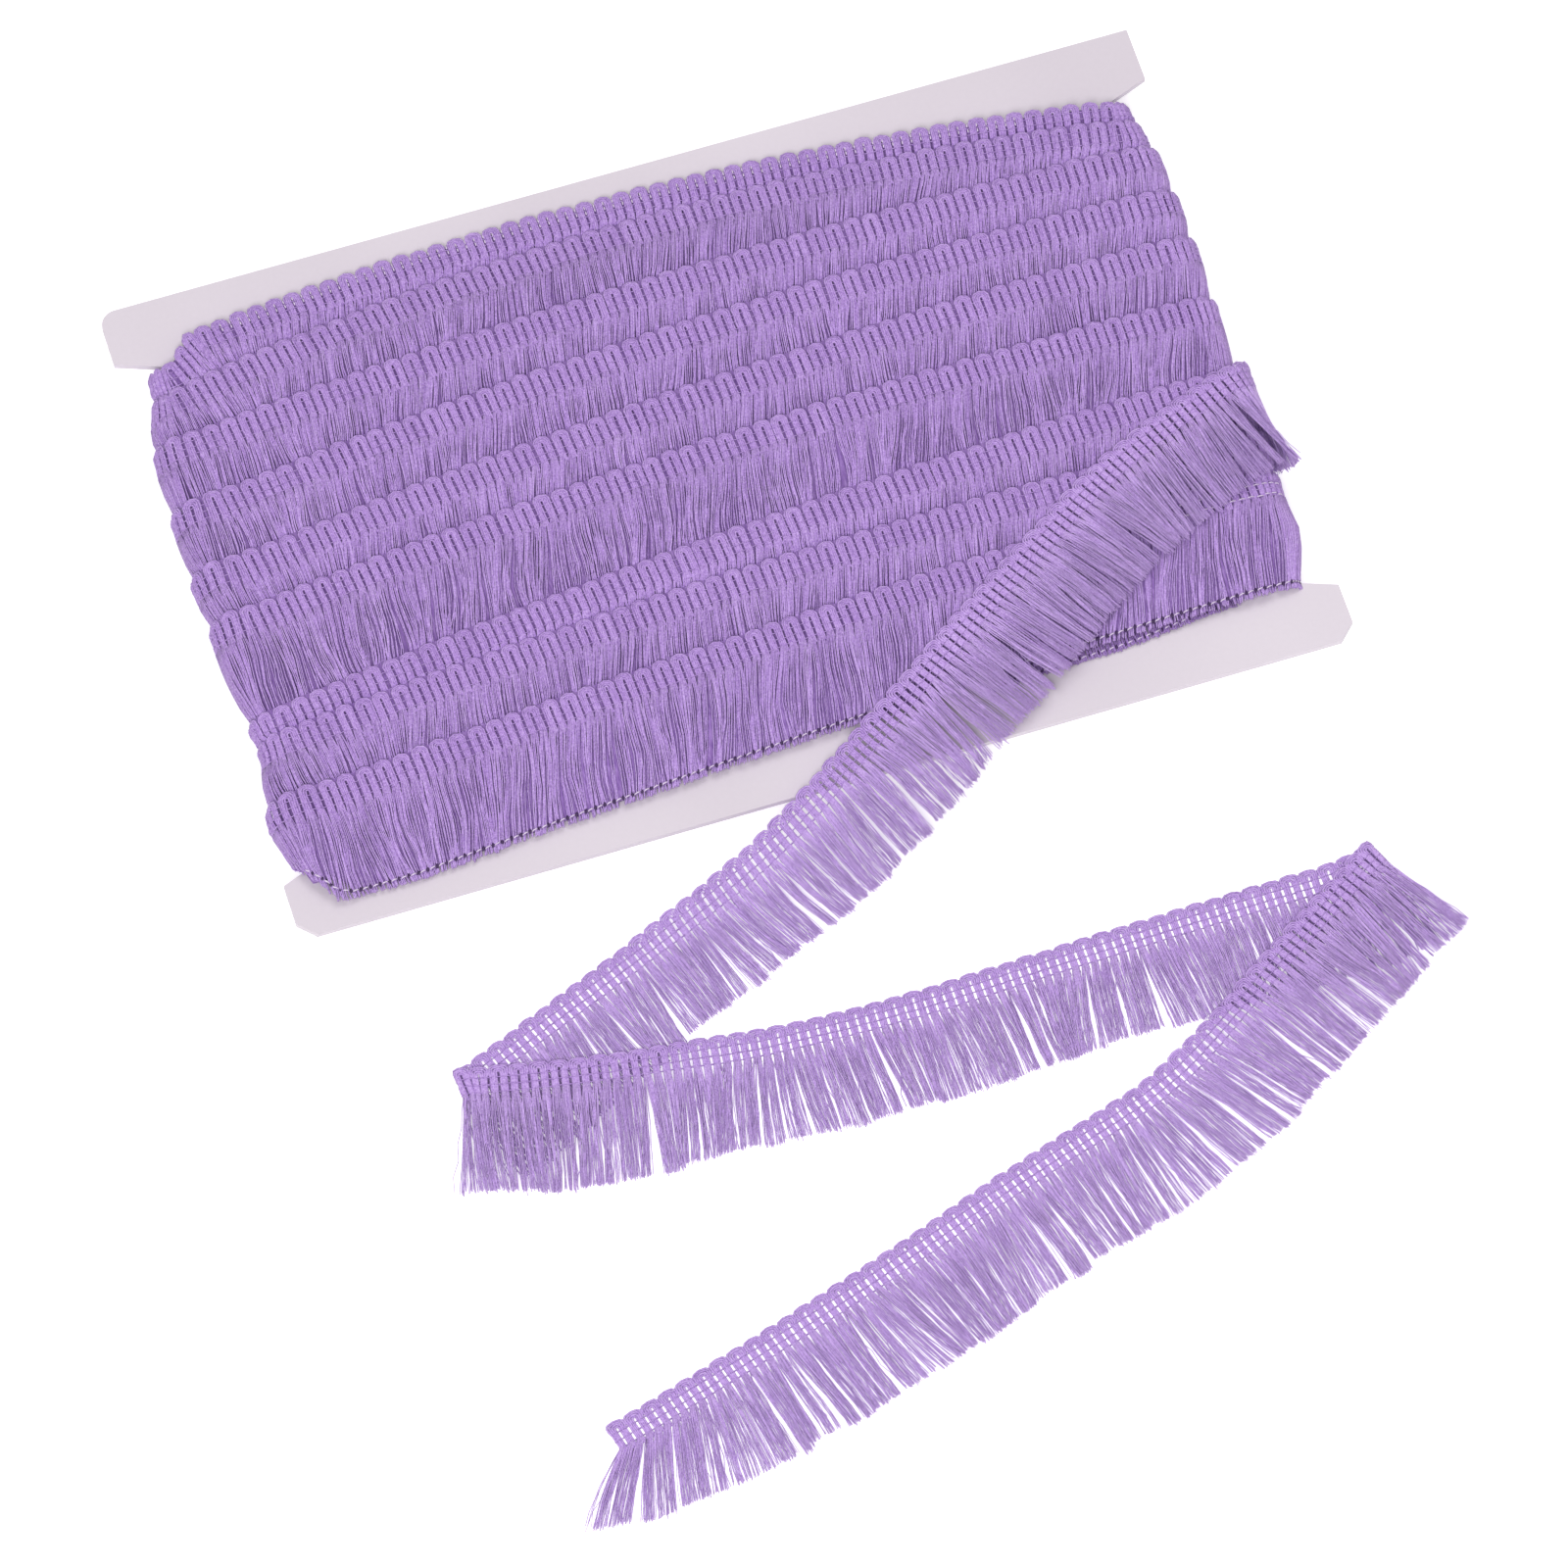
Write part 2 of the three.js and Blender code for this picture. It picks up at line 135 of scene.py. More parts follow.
# Runs of the loose end, each from the last one's end, with headings in degrees at distances along them
TAIL_START = (120.0, -6.5)
RUNS = [
    {
        "length": 237.5,
        "side": 1,
        "turns": [
            (0, -163.0), (32, -159.0), (59, -148.0), (110, -146.0), (144, -149.0), (170, -159.5),
            (237.5, -158.0),
        ],
    },
    {
        "length": 194.5,
        "side": -1,
        "turns": [(0, -13.5), (56, -5.5), (110, 2.0), (182, 0.0), (188, 8.0), (194.5, 17.0)],
    },
    {
        "length": 204.0,
        "side": 1,
        "turns": [(0, -149.0), (50, -146.0), (81, -164.0), (121, -161.0), (204, -165.5)],
    },
]
ROUTE_STEP = 0.25
LAYER = SHEET + GAP
FOLD_RADIUS = LAYER / 2
FOLD_ARC = math.pi * FOLD_RADIUS
FOLD_TURN_LENGTH = 6.0
FIRST_TIPS = {"x": -25.0, "y": -112.4, "slope": 0.378}
SECOND_TIPS_Y = -147.0
STEP_DOWN = (-10.0, -2.0)

# How much further than its width the fringe reaches, at places along the whole loose end
TIP_REACH = [
    (120, 0.0), (165, -2.5), (190, -1.5), (236, 2.8), (262, 3.0), (300, 0.2), (375, -0.8),
    (432, 1.0), (440, 2.6), (525, 1.8), (595, 2.2), (610, 0.6), (638, -0.8),
]

# How far the fringe is turned from square, in degrees, at the same kind of places
SPLAY = [
    (0, -15.0), (16, 0.0), (228, 0.0), (237, -17.0), (243, -5.0), (256, 0.0), (428, 0.0), (436, 3.0),
    (446, 3.0), (462, 0.0), (602, 0.0), (614, -5.0), (622, -12.0), (630, -25.0), (637, -38.0), (641, -54.0),
]

# Where the legs are wider, so that no dark slits show over yarn
CLOSENESS = [
    (105, 1.0), (116, 0.0), (234, 0.0), (239, 1.0), (264, 0.8),
    (278, 0.0), (432, 0.0), (437, 1.0), (460, 0.8), (474, 0.0),
]
CLOSE_FROM = 1.2
CLOSE_WIDENING = 0.34

# Heading of the loose end
TAIL_LEG_HALF = 0.83
TAIL_LEG_ROWS = (LEG_END, *STITCH_ROWS[::-1], 2.1)
TAIL_JITTER = {"along": 0.03, "edge": 0.07, "across": 0.02, "lift": 0.02}
# Mean tints that paint light onto the loose end's yarns, the fringe most, above the pack's
TAIL_LIGHT_LIFT = {"heading": 1.0, "fringe": 2.8}
TAIL_THREAD = {"half": 0.14, "lift": 0.06, "over_leg": 0.22, "jitter": 0.05, "from_end": 0.2}

# Fringe of the loose end: strands gather in wisps and wisps in locks
TAIL_STRANDS = {
    "main": {"seed": 32, "per_leg": 8, "half": 0.145},
    "fine": {"seed": 34, "per_leg": 13, "half": 0.11},
}
TAIL_LOCKS = {"size": (2.5, 8.0), "pull": (0.0, 0.12), "turn": 2.0, "length": 0.35}
TAIL_WISPS = {"size": (0.6, 2.2), "pull": (0.05, 0.38), "turn": 1.1, "tint": 0.25}
TAIL_STRAYS = {"share": 0.04, "turn": 7}
TAIL_YARN = {"turn": 0.8, "length": 0.3, "height": 0.4}
TAIL_WAVE = {"size": (0.04, 0.2), "period": (6, 13)}
TAIL_DRIFT = [(61, 0.8, 0.011), (29, 0.35, -0.017), (13, 0.2, 0.03), (7.1, 0.12, -0.045)]
TAIL_LEAN = [(83, 5.0, 0), (37, 4.0, 0), (17, 1.5, 0)]
LEG_SPREAD = 0.3
STRAND_STEPS = 7
STRAND_TAPER = 0.8

# Rows of the pack
PACK_HALF_LENGTH = NOTCH_FLOOR + math.pi * PACK_HALF
PACK_LEG_HALF = 0.88
PACK_LEG_ROWS = (LEG_END, *STITCH_ROWS[::-1])
PACK_JITTER = {"scallop": 0.08, "along": 0.035, "edge": 0.1, "lift": 0.03, "scallop_lift": 0.05}
PACK_THREAD = {"half": 0.13, "lift": -0.18, "over_leg": 0.06, "jitter": 0.06}
PACK_PER_LEG = 10
PACK_STRAND_HALF = 0.18
PACK_SPREAD = LEG_PITCH / 2 + 0.2 - PACK_LEG_HALF
PACK_WISPS = {"size": (0.6, 2.2), "pull": (-0.1, 0.28), "lift": 0.09, "turn": 1.2}
PACK_YARN = {"turn": 0.9, "length": 0.15, "bury": 0.42, "depth": 0.25}
PACK_WAVE = {"size": (0.03, 0.14), "period": (4.5, 9)}
PACK_DRIFT = [(47, 1.0, 0.012), (21, 0.55, -0.02), (9.7, 0.26, 0.04), (5.3, 0.13, -0.06)]
PACK_STEP_LENGTH = 3.2
REACH_STEPS = 8
SHORTEST_STRAND = 0.4
TUCK = 1.0
LARGEST_LEAN = 0.35
HANG = {"turn": -15.0, "from": -100.0, "full": -72.0}

# Stitches that show on the first and the last row, with painted shade in the chain's holes and painted
# light in the first row's slits, and the turn below that shows beyond the last one
CHAIN_INSET = 1.35
CHAIN_DIP = {"depth": 0.45, "half_width": 0.7}
CHAIN_SPAN = (-111.0, 115.0)
CHAIN_LINK = {"length": 0.62, "half": 0.17, "depth": 0.3, "jitter": 0.05}
# Sizes of the dark beads of painted shade in the chain's holes
CHAIN_HOLE_SHADE = {"length": 0.45, "lean": 0.25, "depth": 0.42, "flatness": 0.6}
BACK_SPAN = (80.0, 112.0)
BACK_STITCH = {"lines": (3.4, 5.9), "half": 0.14, "jitter": 0.06, "lift": (-0.05, 0.15, -0.05), "lean": 0}
TOP_SPAN = (-93.0, 86.0)
# Pale dashes in the first row's slits are painted light, for the lit card seen through them
TOP_SLIT_LIGHT = {"lines": (2.1, 3.35), "half": 0.15, "jitter": 0.08, "lift": (-0.22, -0.07, -0.22), "lean": 1}
LOWER_TIPS = {"from": 36.0, "full_until": 64.0, "to": 93.0, "reach": 1.8, "under": 1.5, "pitch": 0.27}

# Core under the rows
CORE_SINK = 1.0
CORE_INSET = {"heading": 1.7, "tips": 1.6, "corner": 3.0, "corner_length": 8}
CORE_SHARES = (0.02, 0.3, 0.6, 0.98)
CORE_ALONG = 53
CORE_AROUND = 12

# Seeds of the random draws, but for those of the loose end's strands
ROW_SEEDS = {"loops": 11, "strands": 111, "stitches": 211}
SEEDS = {"tail_loops": 31, "tail_stitches": 33, "tail_clumps": 41, "pale_stitches": 51, "lower_tips": 54}

# Colours, and noise in waves to the metre
LILAC_DARK = (0.27, 0.145, 0.44)
LILAC = (0.45, 0.28, 0.65)
LILAC_LIGHT = (0.62, 0.44, 0.82)
# Painted shade: the inner turns are the same yarn as the rows, coloured darker where shade falls under them
CORE_PAINTED_SHADE = (0.17, 0.075, 0.32)
# Painted shade: near black for the chain stitch's holes
HOLE_PAINTED_SHADE = (0.05, 0.02, 0.09)
# Pale thread, and painted light in the first row's slits
PALE_THREAD_AND_SLIT_LIGHT = (0.74, 0.62, 0.82)
BOARD = (0.66, 0.60, 0.66)
BOARD_DARK = (0.60, 0.54, 0.60)
FIBRE_WAVES = 2600
THREAD_WAVES = 3000
BOARD_WAVES = {"grain": 900, "clouds": 14}

# Camera over the card, as the photo was taken: a long lens, turned to the left and tipped down
CAMERA_AZIMUTH = -17.603
CAMERA_ELEVATION = 64.5
CAMERA_DISTANCE = 2031.1
CAMERA_AIM = (-8.45, -68.92, 0.0)
CAMERA_FOCAL_SHARE = 10000 / 1600
SENSOR_WIDTH = 36.0
FLOOR_HALF = 3000


def smooth(x, low, high):
    part = np.clip((x - low) / (high - low), 0, 1)
    return part * part * (3 - 2 * part)


def read_table(table, x, column=1):
    """Values of a table at places between those in its first column."""
    rows = np.array(table, float)
    return np.interp(x, rows[:, 0], rows[:, column])


def unit(vectors):
    return vectors / np.maximum(np.linalg.norm(vectors, axis=-1, keepdims=True), 1e-9)


def put_in_scene(name, data):
    thing = bpy.data.objects.new(name, data)
    bpy.context.scene.collection.objects.link(thing)
    return thing


# Meshes

def make_object(name, shape, material):
    """A mesh object from points in millimetres, four-sided faces, three-sided faces and tints."""
    points, quads, triangles, tint = shape
    mesh = bpy.data.meshes.new(name)
    quads = np.asarray(quads, np.int32).reshape(-1, 4)
    triangles = np.asarray(triangles, np.int32).reshape(-1, 3)
    loops = np.concatenate([quads.ravel(), triangles.ravel()])
    starts = np.concatenate([np.arange(len(quads)) * 4, len(quads) * 4 + np.arange(len(triangles)) * 3])
    mesh.vertices.add(len(points))
    mesh.vertices.foreach_set("co", (np.asarray(points) * MM).astype(np.float32).ravel())
    mesh.loops.add(len(loops))
    mesh.loops.foreach_set("vertex_index", loops)
    mesh.polygons.add(len(starts))
    mesh.polygons.foreach_set("loop_start", starts.astype(np.int32))
    mesh.update(calc_edges=True)
    mesh.polygons.foreach_set("use_smooth", np.ones(len(starts), bool))
    if tint is not None:
        layer = mesh.attributes.new("tint", "FLOAT", "POINT")
        layer.data.foreach_set("value", np.asarray(tint, np.float32))
    mesh.materials.append(material)
    return put_in_scene(name, mesh)


def sweep(paths, normals, widths, heights, tints, sides=4):
    """Closed tubes along many centre lines of the same point count.

    paths and normals are (tubes, steps, 3), widths and heights half sizes (tubes, steps), tints (tubes,).
    """
    count, steps = paths.shape[:2]
    along = unit(np.gradient(paths, axis=1))
    aside = unit(np.cross(along, normals))
    upward = np.cross(aside, along)
    angle = np.pi / 2 + 2 * np.pi * np.arange(sides) / sides
    ring = (
        paths[:, :, None]
        + aside[:, :, None] * (np.cos(angle) * widths[:, :, None])[..., None]
        + upward[:, :, None] * (np.sin(angle) * heights[:, :, None])[..., None]
    )
    reach = widths[:, [0, -1]] * 0.6
    tips = paths[:, [0, -1]] + along[:, [0, -1]] * (reach * np.array([-1, 1]))[..., None]
    points = np.concatenate([ring.reshape(count, steps * sides, 3), tips], axis=1)
    per_tube = steps * sides + 2
    j = np.arange(sides)
    k = (j + 1) % sides
    row = np.arange(steps - 1)[:, None] * sides
    quads = np.stack([row + j, row + k, row + sides + k, row + sides + j], axis=-1).reshape(-1, 4)
    end = (steps - 1) * sides
    start_cap = np.stack([np.full(sides, end + sides), k, j], axis=-1)
    end_cap = np.stack([np.full(sides, end + sides + 1), end + j, end + k], axis=-1)
    offset = (np.arange(count) * per_tube)[:, None, None]
    quads = (quads[None] + offset).reshape(-1, 4)
    triangles = (np.concatenate([start_cap, end_cap])[None] + offset).reshape(-1, 3)
    return points.reshape(-1, 3), quads, triangles, np.repeat(tints, per_tube)


def join(shapes):
    """One shape from several."""
    bases = np.cumsum([0] + [len(shape[0]) for shape in shapes])
    moved = [(points, quads + base, triangles + base, tints)
             for (points, quads, triangles, tints), base in zip(shapes, bases)]
    return [np.concatenate(arrays) for arrays in zip(*moved)]


# Route of the loose end

def lay_runs():
    """Fine samples of each run: distance, place and heading in degrees."""
    laid = []
    x, y = TAIL_START
    for run in RUNS:
        distance = np.linspace(0, run["length"], int(run["length"] / ROUTE_STEP) + 1)
        heading = read_table(run["turns"], distance)
        middle = np.radians((heading[1:] + heading[:-1]) / 2)
        step = np.diff(distance)
        xs = x + np.concatenate([[0], np.cumsum(np.cos(middle) * step)])
        ys = y + np.concatenate([[0], np.cumsum(np.sin(middle) * step)])
        laid.append({**run, "distance": distance, "x": xs, "y": ys, "heading": heading})
        x, y = xs[-1], ys[-1]
    return laid


LAID = lay_runs()
TAIL_LENGTH = sum(run["length"] for run in RUNS) + FOLD_ARC * (len(RUNS) - 1)
TAIL_SCALLOPS = round(TAIL_LENGTH / SCALLOP_PITCH)


def crease_angle(index):
    """Direction in degrees of the crease between a run and the next one."""
    return (LAID[index]["heading"][-1] + LAID[index + 1]["heading"][0]) / 2


def square_angle(index, distance):
    """Direction in degrees square to the heading, towards the fringe."""
    run = LAID[index]
    return np.interp(distance, run["distance"], run["heading"]) + 90 * run["side"]


def crease_turn(index, distance):
    """Turn in degrees that brings the line across the heading parallel to a near crease."""
    run = LAID[index]
    turn = np.zeros_like(distance)
    if index > 0:
        full = crease_angle(index - 1) - square_angle(index, 0.0)
        turn += full * (1 - smooth(distance, 0, FOLD_TURN_LENGTH))
    if index < len(LAID) - 1:
        full = crease_angle(index) - square_angle(index, run["length"])
        turn += full * (1 - smooth(run["length"] - distance, 0, FOLD_TURN_LENGTH))
    return turn


def rest_height(index, x, y):
    """Height of what a run lies on at a place."""
    if index == 0:
        return read_table(DRAPE, y)
    tips = SECOND_TIPS_Y if index == 2 else FIRST_TIPS["y"] + (x - FIRST_TIPS["x"]) * FIRST_TIPS["slope"]
    return LAYER * smooth(y - tips, *STEP_DOWN)


def lay_down(index, x, y, height):
    """Points at a height above what a run lies on; past the notch floor, x goes round the pack's end."""
    angle = np.maximum(x - NOTCH_FLOOR, 0) / WRAP_RADIUS if index == 0 else np.zeros_like(x)
    flat_z = rest_height(index, x, y) + height
    radius = WRAP_RADIUS + height
    wrapped = angle > 0
    px = np.where(wrapped, NOTCH_FLOOR + radius * np.sin(angle), x)
    pz = np.where(wrapped, PACK_HALF + radius * np.cos(angle), flat_z)
    return np.stack([px, y, pz], axis=-1)


def on_run(index, distance, across, lift):
    """Points of a run at a distance along it, across it from its heading edge, lifted from its middle."""
    run = LAID[index]
    x = np.interp(distance, run["distance"], run["x"])
    y = np.interp(distance, run["distance"], run["y"])
    turn = crease_turn(index, distance)
    angle = np.radians(square_angle(index, distance) + turn)
    reach = across / np.cos(np.radians(turn))
    return lay_down(index, x + np.cos(angle) * reach, y + np.sin(angle) * reach, SHEET / 2 + lift)


def on_fold(index, angle, across, lift):
    """Points on the half circle of the fold after a run, from its lower layer to its upper one."""
    run = LAID[index]
    crease = math.radians(crease_angle(index))
    square = math.radians(run["heading"][-1] + 90 * run["side"])
    along = np.array([math.cos(crease), math.sin(crease), 0.0])
    outward = np.array([-along[1], along[0], 0.0]) * -run["side"]
    centre = np.array([run["x"][-1], run["y"][-1], SHEET / 2 + FOLD_RADIUS])
    reach = across / math.cos(crease - square)
    radius = FOLD_RADIUS - lift * np.cos(angle)
    out = (radius * np.sin(angle))[..., None] * outward
    up = (-radius * np.cos(angle))[..., None] * np.array([0.0, 0.0, 1.0])
    return centre + out + up + reach[..., None] * along


def tail_zone(place):
    """Which run (0, 2, 4) or fold (1, 3) a place along the whole loose end is in, and how far into it."""
    lengths = []
    for run in LAID:
        lengths += [run["length"], FOLD_ARC]
    starts = np.concatenate([[0], np.cumsum(lengths[:-1])])
    zone = np.clip(np.searchsorted(starts, place, side="right") - 1, 0, len(lengths) - 2)
    return zone, place - starts[zone]


def on_tail(place, across, lift):
    """Points of the loose end at a place along its whole length, through runs and folds."""
    place, across, lift = np.broadcast_arrays(place, across, lift)
    zone, into = tail_zone(place)
    points = np.zeros(place.shape + (3,))
    for index in np.unique(zone):
        here = zone == index
        if index % 2 == 0:
            points[here] = on_run(index // 2, into[here], across[here], lift[here])
        else:
            points[here] = on_fold(index // 2, into[here] / FOLD_RADIUS, across[here], lift[here])
    return points


def tail_normals(place, across):
    """Directions away from the strip's face at the same places."""
    step = 0.05
    return unit(on_tail(place, across, step) - on_tail(place, across, -step) + 1e-6)


# Pack

def row_edge(row, x):
    """Place across the card of a row's edge, kept inside the notches near the ends."""
    left, middle, right = row
    spread = HEM_SPREAD if row is HEM else 0.0
    beyond = np.abs(x) - NOTCH_FLOOR
    part = np.clip(x / NOTCH_FLOOR, -1, 1)
    level = (left + right) / 2
    rise = EDGE_RISE * smooth(spread - beyond, 0, EDGE_RISE + spread / 2)
    limit = NOTCH_HALF_HEIGHT - NOTCH_CLEARANCE + rise
    bow = (middle - level) * (1 - part * part)
    return np.clip(level + (right - left) / 2 * part + bow, -limit, limit)


def crown(x, y):
    """Distance of the pack's surface from the card's middle plane."""
    at_end = smooth(np.abs(x), *END_BLEND)
    end = np.where(x < 0, read_table(CROWN, y, LEFT_END), read_table(CROWN, y, RIGHT_END))
    return read_table(CROWN, y, FRONT) * (1 - at_end) + end * at_end


def on_pack(u, y, out):
    """Points on the pack: u runs along the front and on round the ends, out is from the middle plane."""
    u, y, out = np.broadcast_arrays(u, y, out)
    angle = np.clip(np.abs(u) - NOTCH_FLOOR, 0, math.pi * PACK_HALF) / PACK_HALF
    past = np.maximum(np.abs(u) - NOTCH_FLOOR - math.pi * PACK_HALF, 0)
    x = np.sign(u) * (np.minimum(np.abs(u), NOTCH_FLOOR) + out * np.sin(angle) - past)
    z = np.maximum(PACK_HALF + out * np.cos(angle), REST_CLEARANCE)
    return np.stack([x, y, z], axis=-1)


def pack_normals(u):
    angle = np.clip(np.abs(u) - NOTCH_FLOOR, 0, math.pi * PACK_HALF) / PACK_HALF
    return np.stack([np.sign(u) * np.sin(angle), np.zeros_like(u), np.cos(angle)], axis=-1)


def pack_threads(u, y, out, half, tints, sides=4, flatness=1.0):
    """Threads on the pack, of half widths at the places that they pass."""
    widths = half * np.ones(u.shape)
    return sweep(on_pack(u, y, out), pack_normals(u), widths, widths * flatness, tints, sides)


# Yarn loops of a heading

def loop_shape(leg_half, leg_rows, arch_size):
    """Flat shape of one scallop's yarns: offsets along the heading, distances across it and lifts.

    Each yarn goes up the left leg, over its own arch and down the right leg. The legs are rounded,
    and they are pinched and dip where the stitch rows cross them. Above them, flared yarns close
    the gap to the next scallop.
    """
    arch = np.radians(ARCH_ANGLES)
    leg = np.array(leg_rows)
    stitched = np.isin(leg, STITCH_ROWS)
    aside, across, lift = [], [], []
    for share in np.linspace(0, 1, YARNS):
        offset = (share * 2 - 1) * (leg_half - YARN_HALF)
        radius = LEG_PITCH / 2 + offset
        height = arch_size["inner"] + (arch_size["outer"] - arch_size["inner"]) * share
        centre = ARCH_TOP["inner"] + (ARCH_TOP["outer"] - ARCH_TOP["inner"]) * share + height
        flare = arch_size["flare"] * share
        leg_aside = LEG_PITCH / 2 + offset * np.where(stitched, STITCH_PINCH, 1.0)
        leg_aside = leg_aside + flare * (leg < STITCH_ROWS[0])
        crown_lift = LEG_CROWN * (1 - (offset / leg_half) ** 2) - LEG_CROWN / 2
        leg_lift = crown_lift - STITCH_DIP * stitched - LEG_SINK * smooth(leg, STITCH_ROWS[-1], LEG_END)
        arch_lift = crown_lift - EDGE_DROP * share * np.sin(arch)
        arch_aside = -(radius + flare) * np.cos(arch)
        aside.append(np.concatenate([-leg_aside, arch_aside, leg_aside[::-1]]))
        across.append(np.concatenate([leg, centre - height * np.sin(arch), leg[::-1]]))
        lift.append(np.concatenate([leg_lift, arch_lift, leg_lift[::-1]]))
    return np.array(aside), np.array(across), np.array(lift)


def make_drift(rng, waves):
    """A smooth sideways drift that neighbouring strands share; waves have a period, a size and a slant."""
    phases = rng.uniform(0, 2 * np.pi, len(waves))

    def drift(along, across):
        total = 0
        for (period, size, slant), phase in zip(waves, phases):
            total = total + size * np.sin(2 * np.pi * (along / period + across * slant) + phase)
        return total

    return drift


def gather(rng, roots, length, size):
    """For each root along a length: its clump's number, the way to its centre and the clump count."""
    edges = [0.0]
    while edges[-1] < length:
        edges.append(edges[-1] + rng.uniform(*size))
    edges = np.array(edges)
    centres = (edges[1:] + edges[:-1]) / 2
    number = np.clip(np.searchsorted(edges, roots) - 1, 0, len(centres) - 1)
    return number, centres[number] - roots, len(centres)


def leg_roots(rng, length, scallops, per_leg, leg_half):
    """Places along the heading where strands leave the legs, with their share of the leg's width."""
    legs = scallops * 2
    share = (np.arange(per_leg) + 0.5) / per_leg * 2 - 1
    share = share + rng.uniform(-0.5, 0.5, (legs, per_leg)) / per_leg
    centres = (np.arange(legs) + 0.5) * (length / legs)
    return (centres[:, None] + share * (leg_half - ROOT_INSET)).ravel(), share.ravel()


def over_legs(count):
    """For each point of a stitch row: 0 between two legs and 1 on a leg."""
    return 0.5 - 0.5 * np.cos(np.arange(count) * np.pi)


# Loose end

def tail_loops():
    """Yarn loops of the loose end's heading."""
    rng = np.random.default_rng(SEEDS["tail_loops"])
    aside, across, lift = loop_shape(TAIL_LEG_HALF, TAIL_LEG_ROWS, TAIL_ARCH)
    pitch = TAIL_LENGTH / TAIL_SCALLOPS
    centres = (np.arange(TAIL_SCALLOPS) + 0.5) * pitch
    place = centres[:, None, None] + aside * pitch / SCALLOP_PITCH
    place = place + rng.normal(0, TAIL_JITTER["along"], place.shape)
    place = np.clip(place, 0, TAIL_LENGTH)
    depth = across + rng.normal(0, TAIL_JITTER["edge"], (TAIL_SCALLOPS, 1, 1)) * (across < ARCH_DEPTH)
    depth = depth + rng.normal(0, TAIL_JITTER["across"], place.shape)
    lift = lift + rng.normal(0, TAIL_JITTER["lift"], place.shape)
    place, depth, lift = (values.reshape(-1, aside.shape[1]) for values in (place, depth, lift))
    widths = YARN_HALF * rng.uniform(0.9, 1.05, (len(place), 1))
    closeness = read_table(CLOSENESS, place) * smooth(depth, CLOSE_FROM, STITCH_ROWS[0])
    widths = widths * (1 + CLOSE_WIDENING * closeness)
    heights = np.full(place.shape, YARN_THICKNESS)
    # Painted light: the heading's yarns tinted lighter than the pack's
    tints = rng.normal(TAIL_LIGHT_LIFT["heading"], 0.6, len(place))
    return sweep(on_tail(place, depth, lift), tail_normals(place, depth), widths, heights, tints)


def tail_clumps(roots):
    """What both kinds of strand share."""
    rng = np.random.default_rng(SEEDS["tail_clumps"])
    number, to_lock, locks = gather(rng, roots, TAIL_LENGTH, TAIL_LOCKS["size"])
    lock_pull = rng.uniform(*TAIL_LOCKS["pull"], locks)[number]
    lock_turn = rng.normal(0, TAIL_LOCKS["turn"], locks)[number]
    lock_length = rng.normal(0, TAIL_LOCKS["length"], locks)[number]
    number, to_wisp, wisps = gather(rng, roots, TAIL_LENGTH, TAIL_WISPS["size"])
    wisp_pull = rng.uniform(*TAIL_WISPS["pull"], wisps)[number]
    wisp_turn = rng.normal(0, TAIL_WISPS["turn"], wisps)[number]
    drift = make_drift(rng, TAIL_DRIFT)
    lean = make_drift(rng, TAIL_LEAN)
    return {
        "to_lock": to_lock * lock_pull,
        "to_wisp": to_wisp * wisp_pull,
        "turn": lean(roots, 0) + lock_turn + wisp_turn,
        "length": lock_length,
        "tint": wisp_turn * TAIL_WISPS["tint"],
        "drift": drift,
    }


def tail_bends(rng, clumps, roots, share, stray, reach, part):
    """How far each strand has gone sideways at each of its steps."""
    size = rng.uniform(*TAIL_WAVE["size"], len(roots)) * (1 + stray * 2)
    period = rng.uniform(*TAIL_WAVE["period"], len(roots))
    phase = rng.uniform(0, 2 * np.pi, len(roots))
    bend = clumps["to_lock"][:, None] * part ** 1.6
    bend += clumps["to_wisp"][:, None] * smooth(part, 0, 0.6)
    bend += share[:, None] * LEG_SPREAD * smooth(reach, 0, 4)
    bend += clumps["drift"](roots[:, None], reach) * part * (1.2 - 0.9 * part)
    wave = np.sin(2 * np.pi * reach / period[:, None] + phase[:, None])
    return bend + size[:, None] * part ** 0.5 * wave


def tail_paths(roots, turn, reach, bend, own):
    """Centre lines of strands at their own heights above what is below."""
    zone, into = tail_zone(roots)
    paths = np.zeros((*reach.shape, 3))
    for index in np.unique(zone):
        here = zone == index
        run = index // 2
        gap = np.zeros(here.sum())
        if index % 2:
            turned = into[here] / FOLD_ARC
            start = square_angle(run, LAID[run]["length"])
            square = start + (square_angle(run + 1, 0.0) - start) * np.minimum(turned * 4, 1)
            gap = LAYER * (1 - np.cos(np.pi * turned)) / 2
        else:
            square = square_angle(run, into[here])
        angle = np.radians(square + turn[here])
        root = on_tail(roots[here], ROOT, 0.0)
        ahead = np.stack([np.cos(angle), np.sin(angle)], axis=-1)[:, None]
        travel = np.stack([ahead[..., 1], -ahead[..., 0]], axis=-1) * LAID[run]["side"]
        flat = root[:, None, :2] + ahead * reach[here][..., None] + travel * bend[here][..., None]
        paths[here] = strand_places(run, index % 2, root, flat, own[here], gap)
    return paths


